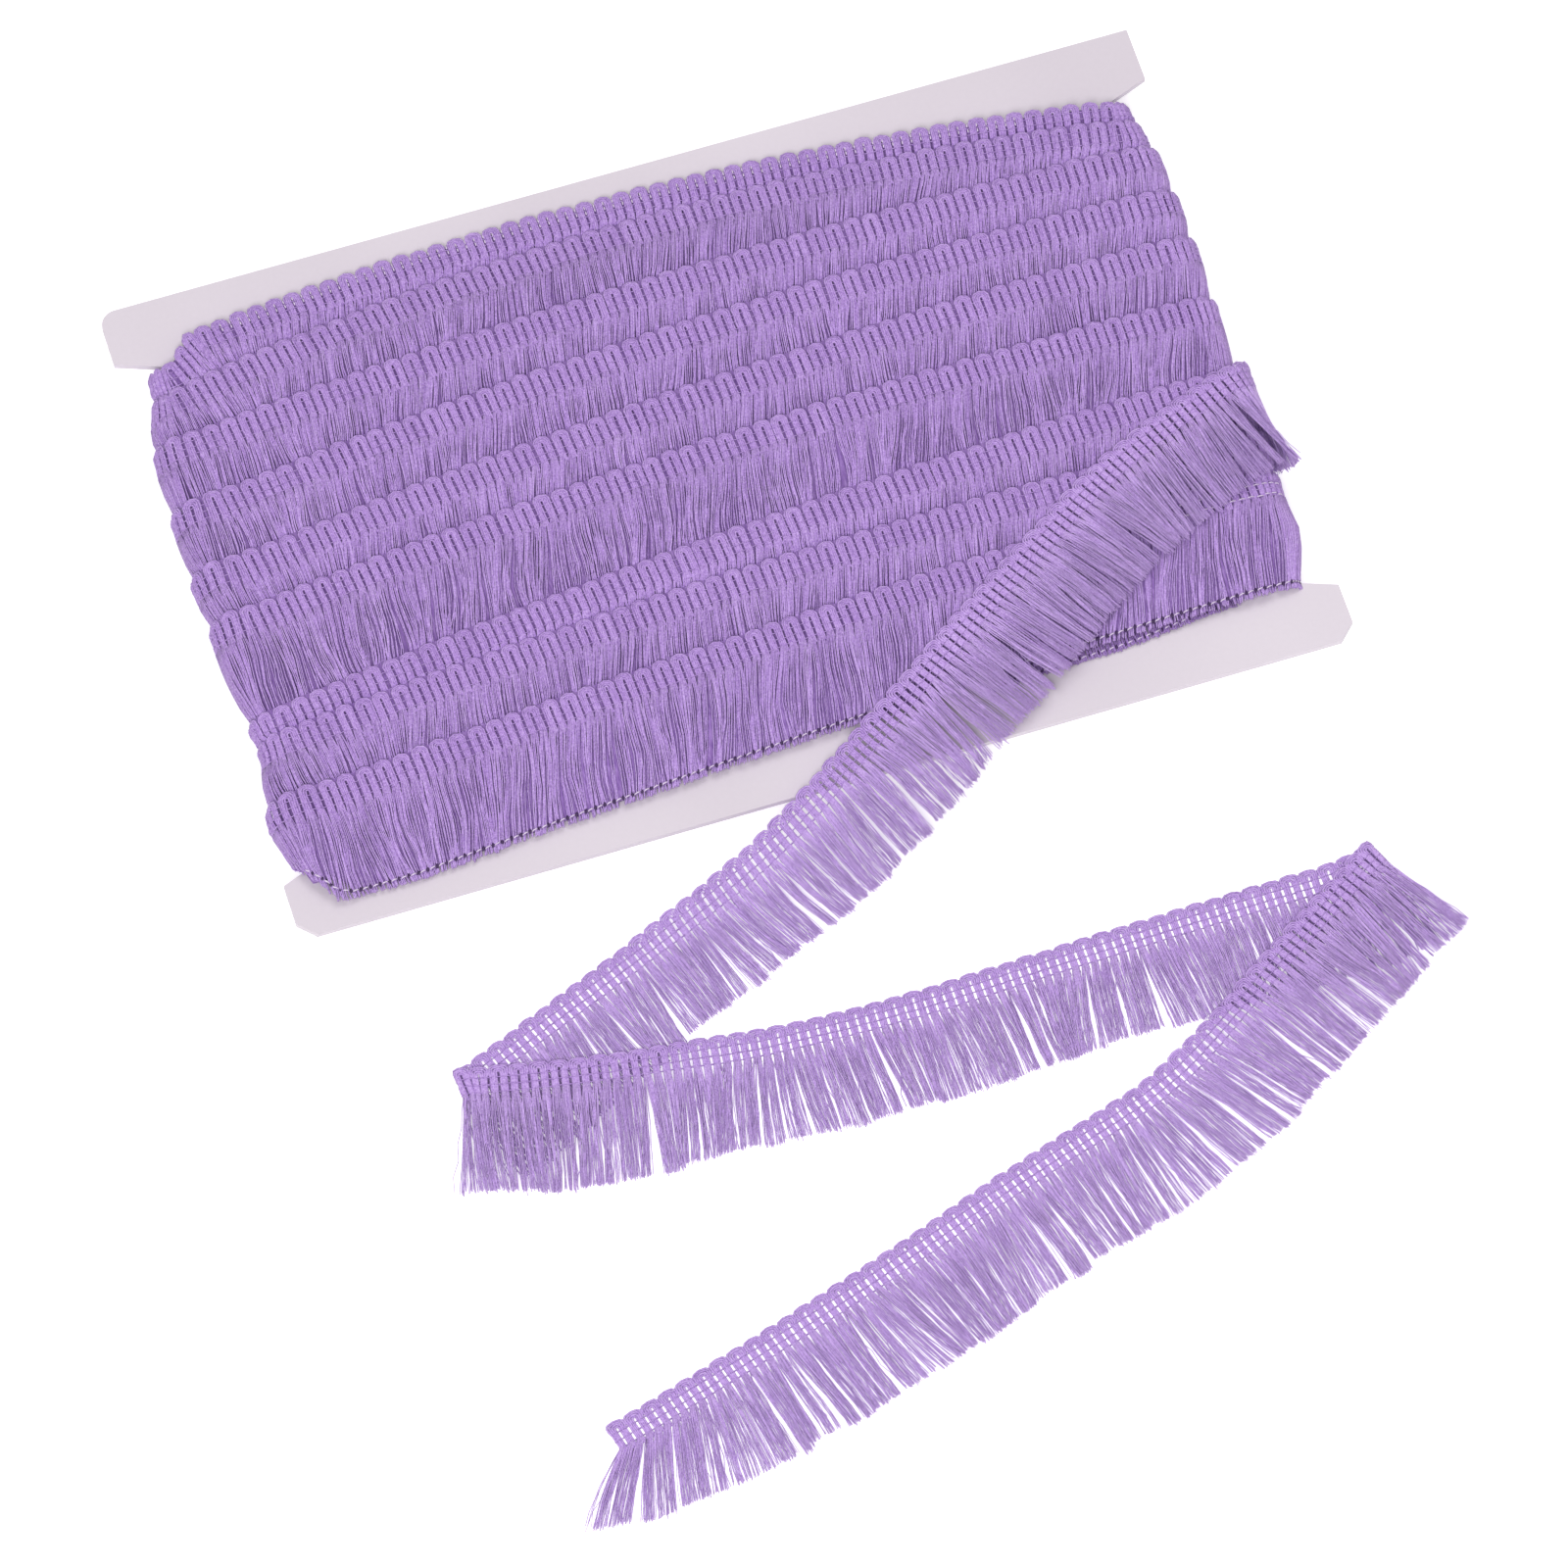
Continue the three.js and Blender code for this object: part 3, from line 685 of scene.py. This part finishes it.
def tail_strands(kind):
    """Loose yarns of the loose end's fringe, gathered in clumps with gaps between them."""
    yarns = TAIL_STRANDS[kind]
    rng = np.random.default_rng(yarns["seed"])
    roots, share = leg_roots(rng, TAIL_LENGTH, TAIL_SCALLOPS, yarns["per_leg"], TAIL_LEG_HALF)
    roots = np.clip(roots, 0.05, TAIL_LENGTH - 0.05)
    count = len(roots)
    clumps = tail_clumps(roots)
    stray = rng.random(count) < TAIL_STRAYS["share"]
    turn = clumps["turn"] + rng.normal(0, TAIL_YARN["turn"], count)
    turn = turn + stray * rng.normal(0, TAIL_STRAYS["turn"], count)
    length = TRIM_WIDTH - ROOT + read_table(TIP_REACH, roots)
    length = length + clumps["length"] + rng.normal(0, TAIL_YARN["length"], count)
    part = np.linspace(0, 1, STRAND_STEPS)
    reach = length[:, None] * part
    bend = tail_bends(rng, clumps, roots, share, stray, reach, part)
    height = SHEET / 2 + rng.uniform(-TAIL_YARN["height"], TAIL_YARN["height"], count)
    settle = smooth(part, 0, 0.3)
    rounded = 0.3 * (1 - share[:, None] ** 2) * (1 - smooth(part, 0, 0.35)) - 0.1
    own = height[:, None] * settle + SHEET / 2 * (1 - settle) + rounded * (1 - settle)
    paths = tail_paths(roots, turn + read_table(SPLAY, roots), reach, bend, own)
    normals = np.zeros_like(paths) + np.array([0.0, 0.0, 1.0])
    taper = np.linspace(1, STRAND_TAPER, STRAND_STEPS)
    widths = yarns["half"] * rng.uniform(0.8, 1.2, (count, 1)) * taper
    # Painted light: the fringe's yarns tinted lighter still
    tints = rng.normal(TAIL_LIGHT_LIFT["fringe"], 1, count) + clumps["tint"]
    return sweep(paths, normals, widths, widths, tints, sides=3)


def strand_places(run, folded, root, flat, own, gap):
    """Heights of strands: they lie down beyond their roots, but stick out straight past the pack's end."""
    x, y = flat[..., 0], flat[..., 1]
    z = own + (gap[:, None] if folded else rest_height(run, x, y))
    if folded or run > 0:
        return np.stack([x, y, z], axis=-1)
    around = np.arctan2(np.maximum(root[:, 0] - NOTCH_FLOOR, 0), root[:, 2] - PACK_HALF)[:, None]
    ahead = x - root[:, :1]
    level = root[:, 2:] + own - SHEET / 2
    drop = read_table(DRAPE, y) - read_table(DRAPE, root[:, 1:2])
    wrapped = root[:, :1] > NOTCH_FLOOR
    out_x = np.where(wrapped, root[:, :1] + ahead * np.cos(around), x)
    out_z = np.where(wrapped, level - ahead * np.sin(around) + drop, z)
    return np.stack([out_x, y, np.maximum(out_z, 0.15)], axis=-1)


def tail_stitches():
    """Stitch threads that cross the loose end's legs on both faces."""
    rng = np.random.default_rng(SEEDS["tail_stitches"])
    start = TAIL_THREAD["from_end"]
    place = np.linspace(start, TAIL_LENGTH - start, TAIL_SCALLOPS * 4 + 1)
    parts = []
    for across in STITCH_ROWS:
        for face in (1, -1):
            lift = face * (TAIL_THREAD["lift"] + TAIL_THREAD["over_leg"] * over_legs(len(place)))
            line = across + rng.normal(0, TAIL_THREAD["jitter"], len(place))
            paths = on_tail(place, line, lift)[None]
            normals = tail_normals(place, line)[None]
            sizes = np.full((1, len(place)), TAIL_THREAD["half"])
            parts.append(sweep(paths, normals, sizes, sizes, np.zeros(1), sides=3))
    return join(parts)


# Pack rows

def row_length_map(row):
    """Evenly spaced lengths along a row's heading edge, the places u that they have, and its scallops."""
    u = np.linspace(-PACK_HALF_LENGTH, PACK_HALF_LENGTH, 1200)
    step = np.hypot(np.diff(u), np.diff(row_edge(row, u)))
    lengths = np.concatenate([[0], np.cumsum(step)])
    return lengths, u, round(lengths[-1] / SCALLOP_PITCH)


def row_slope(row, u):
    step = 2.0
    return (row_edge(row, u + step) - row_edge(row, u - step)) / (2 * step)


def row_lean(row, u):
    """How far the strands lean along the row for each millimetre across it."""
    return np.clip(row_slope(row, u), -LARGEST_LEAN, LARGEST_LEAN)


def row_width(index, u):
    """How much of a row shows: the distance from its edge to the next row's edge."""
    return row_edge(EDGES[index], u) - row_edge(EDGES[index + 1], u)


def row_surface(index, u, across):
    """Distance of a row's top surface from the middle plane: it sinks under the next row's heading."""
    y = row_edge(ROWS[index], u) - across
    slope_length = np.maximum(row_width(index, u) - ROW_LEVEL, ROW_SINK["shortest"])
    sink = ROW_SINK["last_row"] if index == LAST else ROW_STEP
    part = np.clip((across - ROW_LEVEL) / slope_length, 0, ROW_SINK["limit"])
    return crown(u, y) - sink * part ** ROW_SINK["power"]


def row_loops(index):
    """Yarn loops of one row's heading."""
    row = ROWS[index]
    rng = np.random.default_rng(ROW_SEEDS["loops"] + index)
    aside, across, lift = loop_shape(PACK_LEG_HALF, PACK_LEG_ROWS, PACK_ARCH)
    lengths, places, scallops = row_length_map(row)
    pitch = lengths[-1] / scallops
    centres = (np.arange(scallops) + 0.5) * pitch + rng.normal(0, PACK_JITTER["scallop"], scallops)
    along = centres[:, None, None] + aside * pitch / SCALLOP_PITCH
    along = along + rng.normal(0, PACK_JITTER["along"], along.shape)
    depth = across + rng.normal(0, PACK_JITTER["edge"], (scallops, 1, 1)) * (across < ARCH_DEPTH)
    depth = depth + np.zeros_like(along)
    lift = lift + rng.normal(0, PACK_JITTER["lift"], along.shape)
    lift = lift + rng.normal(0, PACK_JITTER["scallop_lift"], (scallops, 1, 1))
    along, depth, lift = (values.reshape(-1, aside.shape[1]) for values in (along, depth, lift))
    u = np.interp(along, lengths, places)
    place = u + row_lean(row, u) * depth
    out = row_surface(index, u, depth) - YARN_THICKNESS + lift
    paths = on_pack(place, row_edge(row, u) - depth, out)
    widths = np.full(u.shape, YARN_HALF) * rng.uniform(0.92, 1.08, (len(u), 1))
    heights = np.full(u.shape, YARN_THICKNESS)
    return sweep(paths, pack_normals(place), widths, heights, rng.normal(0, 0.6, len(u)))


def strand_reach(index, length):
    """Shares of a strand's length at which it has rings, with some at the last row's chain stitch."""
    if index < LAST:
        return np.linspace(0, 1, max(2, math.ceil(length / PACK_STEP_LENGTH) + 1))
    chain = 1 - CHAIN_INSET / length
    width = 0.6 / length
    return np.concatenate([np.linspace(0, chain - width, 6), [chain, chain + width, 1]])


def strand_ends(index, roots, hang):
    """How far across its row each strand goes until it meets the next row's edge or the hem."""
    row = ROWS[index]
    until = row_width(index, roots)
    for _ in range(REACH_STEPS):
        tips = roots + row_lean(row, roots) * until + hang * np.maximum(until - ROOT, 0)
        until = row_edge(row, roots) - row_edge(EDGES[index + 1], tips)
    return until


def row_strands(index):
    """Loose yarns of one row's fringe, as far as they show."""
    row = ROWS[index]
    rng = np.random.default_rng(ROW_SEEDS["strands"] + index)
    lengths, places, scallops = row_length_map(row)
    along, share = leg_roots(rng, lengths[-1], scallops, PACK_PER_LEG, PACK_LEG_HALF)
    roots = np.interp(along, lengths, places)
    hang = math.tan(math.radians(HANG["turn"])) * smooth(roots, HANG["from"], HANG["full"])
    until = strand_ends(index, roots, hang)
    until = until + (rng.normal(0, PACK_YARN["length"], len(roots)) if index == LAST else TUCK)
    keep = until > ROOT + SHORTEST_STRAND
    along, share, roots, until, hang = (values[keep] for values in (along, share, roots, until, hang))
    count = len(roots)
    number, to_wisp, wisps = gather(rng, along, lengths[-1], PACK_WISPS["size"])
    wisp_pull = rng.uniform(*PACK_WISPS["pull"], wisps)[number]
    wisp_lift = rng.normal(0, PACK_WISPS["lift"], wisps)[number]
    turn = rng.normal(0, PACK_WISPS["turn"], wisps)[number] + rng.normal(0, PACK_YARN["turn"], count)
    drift = make_drift(rng, PACK_DRIFT)
    part = strand_reach(index, float(np.median(until)) - ROOT)
    reach = (until - ROOT)[:, None] * part
    grown = smooth(reach, 0, 9)
    place = roots[:, None] + row_lean(row, roots)[:, None] * (ROOT + reach) + hang[:, None] * reach
    place += (to_wisp * wisp_pull)[:, None] * grown + np.tan(np.radians(turn))[:, None] * reach
    place += drift(along[:, None], reach) * smooth(reach, 0, 14)
    place += share[:, None] * PACK_SPREAD * smooth(reach, 0, 4)
    size, period = (rng.uniform(*PACK_WAVE[name], (count, 1)) for name in ("size", "period"))
    phase = rng.uniform(0, 2 * np.pi, (count, 1))
    place += size * grown * np.sin(2 * np.pi * reach / period + phase)
    across = ROOT + reach
    bury = rng.uniform(0.0, PACK_YARN["bury"], (count, 1))
    rounded = (0.3 * (1 - share[:, None] ** 2) - 0.2) * (1 - smooth(reach, 0, 5))
    out = row_surface(index, place, across) - PACK_YARN["depth"] - bury * smooth(reach, -2, 4) + rounded
    out += wisp_lift[:, None] * grown
    if index == LAST:
        to_chain = np.abs(reach - (until - ROOT - CHAIN_INSET)[:, None])
        out -= CHAIN_DIP["depth"] * np.clip(1 - to_chain / CHAIN_DIP["half_width"], 0, 1)
    half = PACK_STRAND_HALF * rng.uniform(0.85, 1.15, (count, 1))
    # Tints lifted above the loops' as painted light against the strands' own shade, and darker the deeper a
    # strand is buried, as painted shade
    tints = rng.normal(1.2, 1, count) - 2 * bury[:, 0]
    return pack_threads(place, row_edge(row, roots)[:, None] - across, out, half, tints, sides=3)


def row_stitches(index):
    """Stitch threads across one row's heading."""
    row = ROWS[index]
    rng = np.random.default_rng(ROW_SEEDS["stitches"] + index)
    lengths, places, scallops = row_length_map(row)
    along = np.linspace(0, lengths[-1], scallops * 4 + 1)
    u = np.interp(along, lengths, places)[None]
    over_leg = PACK_THREAD["over_leg"] * over_legs(len(along))
    parts = []
    for across in STITCH_ROWS:
        line = across + rng.normal(0, PACK_THREAD["jitter"], u.shape)
        out = row_surface(index, u, line) + PACK_THREAD["lift"] + over_leg
        place = u + row_lean(row, u) * line
        y = row_edge(row, u) - line
        parts.append(pack_threads(place, y, out, PACK_THREAD["half"], np.zeros(1), sides=3))
    return join(parts)


# Stitches that show on the first and the last row, with painted shade in the chain's holes and painted
# light in the first row's slits

def chain_line(u, inset):
    """Places across the card and heights on the last row at a distance inside its tips."""
    shown = row_width(LAST, u)
    return row_edge(ROWS[LAST], u) - shown + inset, row_surface(LAST, u, shown - inset)


def chain_links(rng, start, stop, inset, under):
    """Pale links of a chain stitch, one for each leg of the heading."""
    centres = np.arange(start, stop, LEG_PITCH)
    part = np.array([-1, -0.4, 0.4, 1]) * CHAIN_LINK["length"]
    u = centres[:, None] + part + rng.normal(0, CHAIN_LINK["jitter"], (len(centres), 1))
    y, out = chain_line(u, inset(u))
    arch = np.array([-0.28, 0.02, 0.02, -0.28])
    slant = np.array([-0.12, -0.04, 0.04, 0.12])
    out = out - CHAIN_LINK["depth"] - under + arch
    return pack_threads(u, y + slant, out, CHAIN_LINK["half"], rng.normal(0, 1, len(u)))


def chain_hole_shades(start, stop, inset, under):
    """Dark beads of painted shade in the holes between the links."""
    centres = np.arange(start, stop, LEG_PITCH) + LEG_PITCH / 2
    across = np.array([-1, 0, 1]) * CHAIN_HOLE_SHADE["length"]
    half = np.array([0.2, 0.36, 0.2])
    u = centres[:, None] + across * CHAIN_HOLE_SHADE["lean"]
    y, out = chain_line(u, inset(u))
    out = out - CHAIN_HOLE_SHADE["depth"] - under
    return pack_threads(u, y + across, out, half, np.zeros(len(u)), flatness=CHAIN_HOLE_SHADE["flatness"])


def hem_inset(u):
    return np.full(u.shape, CHAIN_INSET)


def lower_inset(u):
    return CHAIN_INSET * 0.7 - lower_reach(u)


def lower_reach(u):
    return LOWER_TIPS["reach"] * (1 - smooth(u, LOWER_TIPS["full_until"], LOWER_TIPS["to"]))


def lower_tips():
    """Tips of the turn below, which show under the last row's tips near the right end, tinted darker as
    painted shade.
    """
    rng = np.random.default_rng(SEEDS["lower_tips"])
    u = np.arange(LOWER_TIPS["from"], LOWER_TIPS["to"], LOWER_TIPS["pitch"])
    u = u[:, None] + rng.normal(0, 0.06, (len(u), 1)) + np.array([0.0, 0.1, 0.2])
    past = lower_reach(u) * np.array([0.0, 0.6, 1.0]) - np.array([1.5, 0.0, 0.0])
    y, out = chain_line(u, -past - rng.normal(0, 0.15, (len(u), 1)))
    out = out - 0.3 - LOWER_TIPS["under"] - rng.uniform(0, 0.3, (len(u), 1))
    # Tints well below the yarn's mean: painted shade under the last row
    return pack_threads(u, y, out, PACK_STRAND_HALF, rng.normal(-2, 1, len(u)), sides=3)


def pale_dashes(seed, index, u, across, marks):
    """Pale dashes on a row's heading, for stitches and for painted light in slits."""
    rng = np.random.default_rng(seed)
    parts = []
    for line in marks["lines"]:
        depth = line + across + rng.normal(0, marks["jitter"], (len(u), 1))
        place = u + row_lean(ROWS[index], u) * depth * marks["lean"]
        out = row_surface(index, u, depth) + np.array(marks["lift"])
        y = row_edge(ROWS[index], u) - depth
        parts.append(pack_threads(place, y, out, marks["half"], np.zeros(len(u))))
    return join(parts)


def top_slit_light(seed):
    """Pale dashes between the legs of the first row, which lies with its back up: painted light, for the
    lit card seen through its slits.
    """
    lengths, places, scallops = row_length_map(ROWS[0])
    along = np.arange(0, lengths[-1], lengths[-1] / scallops / 2)
    u = np.interp(along, lengths, places)
    u = u[(u > TOP_SPAN[0]) & (u < TOP_SPAN[1])][:, None]
    return pale_dashes(seed, 0, u, np.array([-0.38, 0.0, 0.38]), TOP_SLIT_LIGHT)


def back_dashes(seed):
    """Pale stitches along the last row's heading where it lies with its back up, at the right end."""
    u = np.arange(*BACK_SPAN, LEG_PITCH)[:, None] + np.array([-0.68, 0.0, 0.68])
    return pale_dashes(seed, LAST, u, 0.0, BACK_STITCH)


def show_stitches():
    """All pale stitches of the first and last rows, the pale dashes of painted light in the first row's
    slits and the dark beads of painted shade in the chain's holes.
    """
    seed = SEEDS["pale_stitches"]
    rng = np.random.default_rng(seed)
    hem = (*CHAIN_SPAN, hem_inset, 0.0)
    lower = (LOWER_TIPS["from"], LOWER_TIPS["to"] - 4, lower_inset, LOWER_TIPS["under"])
    # The first row's pale dashes are painted light in its slits
    pale = [chain_links(rng, *hem), chain_links(rng, *lower), top_slit_light(seed + 1), back_dashes(seed + 2)]
    return join(pale), join([chain_hole_shades(*hem), chain_hole_shades(*lower)])


# Core under the rows

def core_ring(u, front):
    """One cross section of the core at a place: points across the card, from slot to slot."""
    x = float(np.clip(u, -NOTCH_FLOOR, NOTCH_FLOOR))
    at_corner = float(smooth(-x, NOTCH_FLOOR - CORE_INSET["corner_length"], NOTCH_FLOOR))
    inset = CORE_INSET["tips"] + CORE_INSET["corner"] * at_corner
    ys, outs = [], []
    for index, row in enumerate(ROWS):
        width = float(row_width(index, x))
        for share in CORE_SHARES:
            across = width * share
            if index == 0:
                across = max(across, CORE_INSET["heading"] + share * 0.1)
            if index == LAST:
                across = min(across, width - inset + share * 0.1)
            ys.append(float(row_edge(row, x)) - across)
            surface = float(row_surface(index, np.array([x if front else 0.0]), np.array([across]))[0])
            outs.append(max(surface - CORE_SINK, SLOT_HALF + 0.2) if front else PACK_HALF - REST_CLEARANCE)
    ys = np.array([ys[0] + 0.05] + ys + [ys[-1] - 0.05])
    outs = np.array([SLOT_HALF] + outs + [SLOT_HALF])
    if front:
        return on_pack(np.full(len(ys), u), ys, outs)
    return np.stack([np.full(len(ys), x), ys, PACK_HALF - outs], axis=-1)


def core_shape():
    """The turns under the visible rows: a ring round the card, with a plain under side."""
    along = np.linspace(-NOTCH_FLOOR, NOTCH_FLOOR, CORE_ALONG)
    around = np.linspace(0, 1, CORE_AROUND)[1:-1] * math.pi * PACK_HALF
    rings = [core_ring(u, True) for u in np.concatenate([along, NOTCH_FLOOR + around])]
    rings += [core_ring(u, False) for u in along[::-1]]
    rings += [core_ring(-NOTCH_FLOOR - u, True) for u in around[::-1]]
    points = np.array(rings)
    steps, count = points.shape[:2]
    i, j = np.meshgrid(np.arange(steps), np.arange(count), indexing="ij")
    after, beside = (i + 1) % steps, (j + 1) % count
    quads = np.stack([i * count + j, after * count + j, after * count + beside, i * count + beside], -1)
    return points.reshape(-1, 3), quads.reshape(-1, 4), [], None


# Materials

def new_material(name):
    material = bpy.data.materials.new(name)
    material.use_nodes = True
    nodes = material.node_tree.nodes
    return material, nodes, material.node_tree.links, nodes["Principled BSDF"]


def set_inputs(node, values):
    for name, value in values.items():
        node.inputs[name].default_value = value


def colour_by(nodes, links, shader, source, stops):
    """The shader's colour from a source of numbers, through colours at positions."""
    ramp = nodes.new("ShaderNodeValToRGB")
    while len(ramp.color_ramp.elements) < len(stops):
        ramp.color_ramp.elements.new(0.5)
    for element, (position, colour) in zip(ramp.color_ramp.elements, stops):
        element.position = position
        element.color = (*colour, 1)
    links.new(source, ramp.inputs["Fac"])
    links.new(ramp.outputs["Color"], shader.inputs["Base Color"])


def noise(nodes, links, scale, detail=2.0, roughness=0.5, stretch=(1, 1, 1)):
    """Noise over the object's own lengths, in waves to the metre, stretched along its axes."""
    texture = nodes.new("ShaderNodeTexNoise")
    set_inputs(texture, {"Scale": scale, "Detail": detail, "Roughness": roughness})
    place = nodes.new("ShaderNodeTexCoord")
    mapping = nodes.new("ShaderNodeMapping")
    set_inputs(mapping, {"Scale": stretch})
    links.new(place.outputs["Object"], mapping.inputs["Vector"])
    links.new(mapping.outputs["Vector"], texture.inputs["Vector"])
    return texture.outputs["Fac"]


def weigh(nodes, links, source, weight, rest=None):
    """A source times a weight, plus another source."""
    blend = nodes.new("ShaderNodeMath")
    blend.operation = "MULTIPLY_ADD"
    blend.inputs[1].default_value = weight
    blend.inputs[2].default_value = 0.0
    links.new(source, blend.inputs[0])
    if rest:
        links.new(rest, blend.inputs[2])
    return blend.outputs["Value"]


def add_bump(nodes, links, shader, source, distance, strength):
    bump = nodes.new("ShaderNodeBump")
    set_inputs(bump, {"Distance": distance, "Strength": strength})
    links.new(source, bump.inputs["Height"])
    links.new(bump.outputs["Normal"], shader.inputs["Normal"])


def yarn_material(name, dark, middle, light, stretch=(1, 1, 1)):
    """Spun yarn: colour varies from yarn to yarn and with the fibres, with a soft sheen; the yarns' tints
    also carry painted light and painted shade.
    """
    material, nodes, links, shader = new_material(name)
    tint = nodes.new("ShaderNodeAttribute")
    tint.attribute_name = "tint"
    fibres = noise(nodes, links, FIBRE_WAVES, stretch=stretch)
    shades = weigh(nodes, links, tint.outputs["Fac"], 0.07)
    shades = weigh(nodes, links, fibres, 1.1, shades)
    colour_by(nodes, links, shader, shades, [(0.25, dark), (0.55, middle), (0.9, light)])
    set_inputs(shader, {"Roughness": 0.65, "Specular IOR Level": 0.35})
    set_inputs(shader, {"Sheen Weight": 0.15, "Sheen Roughness": 0.5})
    add_bump(nodes, links, shader, fibres, 0.0002, 0.9)
    return material


def plain_grained_material(name, colour):
    """One colour with a fine grain, for thread and for the painted shade of stitch holes."""
    material, nodes, links, shader = new_material(name)
    darker = tuple(part * 0.75 for part in colour)
    grain = noise(nodes, links, THREAD_WAVES)
    colour_by(nodes, links, shader, grain, [(0.3, darker), (0.6, colour)])
    set_inputs(shader, {"Roughness": 0.6})
    return material


def board_material(name):
    """Pale board with a fine paper grain and faint clouding."""
    material, nodes, links, shader = new_material(name)
    grain = noise(nodes, links, BOARD_WAVES["grain"], detail=4, roughness=0.6)
    clouds = noise(nodes, links, BOARD_WAVES["clouds"])
    shades = weigh(nodes, links, clouds, 0.8)
    shades = weigh(nodes, links, grain, 0.2, shades)
    colour_by(nodes, links, shader, shades, [(0.35, BOARD_DARK), (0.7, BOARD)])
    set_inputs(shader, {"Roughness": 0.55})
    add_bump(nodes, links, shader, grain, 0.00004, 0.3)
    return material


def floor_material():
    material, nodes, links, shader = new_material("floor")
    set_inputs(shader, {"Base Color": (0.9, 0.9, 0.9, 1), "Roughness": 1.0, "Specular IOR Level": 0.0})
    set_inputs(shader, {"Emission Color": (1, 1, 1, 1), "Emission Strength": 0.4})
    return material


# Pieces

def add_piece(name, shape, look, *nodes):
    """A piece of yarn that stands in for nodes of the CAD model."""
    piece = make_object(name, shape, look)
    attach(piece, "root")
    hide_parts(*nodes)
    return piece


def make_pack(looks):
    add_piece("pack_core", core_shape(), looks["inner"], "wound_trim")
    for index, name in enumerate(ROW_NAMES):
        shape = join([row_loops(index), row_strands(index)])
        add_piece(f"row_{name}", shape, looks["yarn"], "wound_trim")
    stitches = join([row_stitches(index) for index in range(len(ROWS))])
    pale, hole_shades = show_stitches()
    add_piece("row_stitches", stitches, looks["thread"], "wound_trim")
    add_piece("lower_tips", lower_tips(), looks["yarn"], "wound_trim")
    add_piece("pale_stitches", pale, looks["pale"], "wound_trim")
    # Dark beads of painted shade in the chain's holes
    add_piece("stitch_holes", hole_shades, looks["hole_shade"], "wound_trim")


def make_loose_end(looks):
    fringes = [name for name in frame["nodes"] if name.startswith("tail_fringe")]
    shape = join([tail_loops(), tail_strands("main")])
    piece = add_piece("loose_end", shape, looks["yarn"], "tail_heading", *fringes)
    strands = add_piece("loose_end_strands", tail_strands("fine"), looks["yarn"], *fringes)
    stitches = add_piece("loose_end_stitches", tail_stitches(), looks["thread"], "tail_heading")


def make_card():
    board = board_material("board")
    for piece in bpy.data.objects:
        if piece.name.split(".")[0] == "card":
            for slot in piece.material_slots:
                slot.material = board


def make_floor():
    corners = np.array([(-1, -1, 0), (1, -1, 0), (1, 1, 0), (-1, 1, 0)]) * FLOOR_HALF
    make_object("floor", (corners, [(0, 1, 2, 3)], [], None), floor_material())


def make_light(name, place, size, power, aim=(0, -60, 0)):
    data = bpy.data.lights.new(name, "AREA")
    data.shape = "DISK"
    data.size = size * MM
    data.energy = power
    light = put_in_scene(name, data)
    light.location = [v * MM for v in place]
    point_at(light, aim)


def point_at(thing, aim):
    away = np.array(thing.location) - np.array(aim) * MM
    flat = math.hypot(away[0], away[1])
    thing.rotation_euler = (math.atan2(flat, away[2]), 0, math.atan2(away[1], away[0]) + math.pi / 2)


def make_lights():
    make_light("key", (-500, -900, 1500), size=900, power=20)
    make_light("top", (400, 500, 1600), size=1200, power=9)
    world = bpy.data.worlds.new("studio")
    world.use_nodes = True
    set_inputs(world.node_tree.nodes["Background"], {"Color": (1, 1, 1, 1), "Strength": 0.45})
    bpy.context.scene.world = world
    bpy.context.scene.view_settings.view_transform = "Standard"


def make_camera():
    azimuth, elevation = math.radians(CAMERA_AZIMUTH), math.radians(CAMERA_ELEVATION)
    level = math.cos(elevation)
    back = (math.sin(azimuth) * level, -math.cos(azimuth) * level, math.sin(elevation))
    data = bpy.data.cameras.new("camera")
    data.sensor_width = SENSOR_WIDTH
    data.lens = SENSOR_WIDTH * CAMERA_FOCAL_SHARE
    data.clip_end = 20
    camera = put_in_scene("camera", data)
    camera.location = [(a + b * CAMERA_DISTANCE) * MM for a, b in zip(CAMERA_AIM, back)]
    camera.rotation_euler = (math.pi / 2 - elevation, 0, azimuth)
    bpy.context.scene.camera = camera


make_camera()
make_floor()
make_lights()
make_card()
looks = {
    "yarn": yarn_material("yarn", LILAC_DARK, LILAC, LILAC_LIGHT),
    "thread": yarn_material("thread", LILAC_DARK, LILAC, LILAC_LIGHT),
    # The inner turns take darker yarn colours as painted shade
    "inner": yarn_material("inner_turns_painted_shade", CORE_PAINTED_SHADE, LILAC_DARK, LILAC, stretch=(1, 0.08, 1)),
    # Pale thread, which also paints the light in the first row's slits
    "pale": plain_grained_material("pale_thread_and_slit_light", PALE_THREAD_AND_SLIT_LIGHT),
    # Painted shade of the stitch holes
    "hole_shade": plain_grained_material("stitch_holes", HOLE_PAINTED_SHADE),
}
make_pack(looks)
make_loose_end(looks)
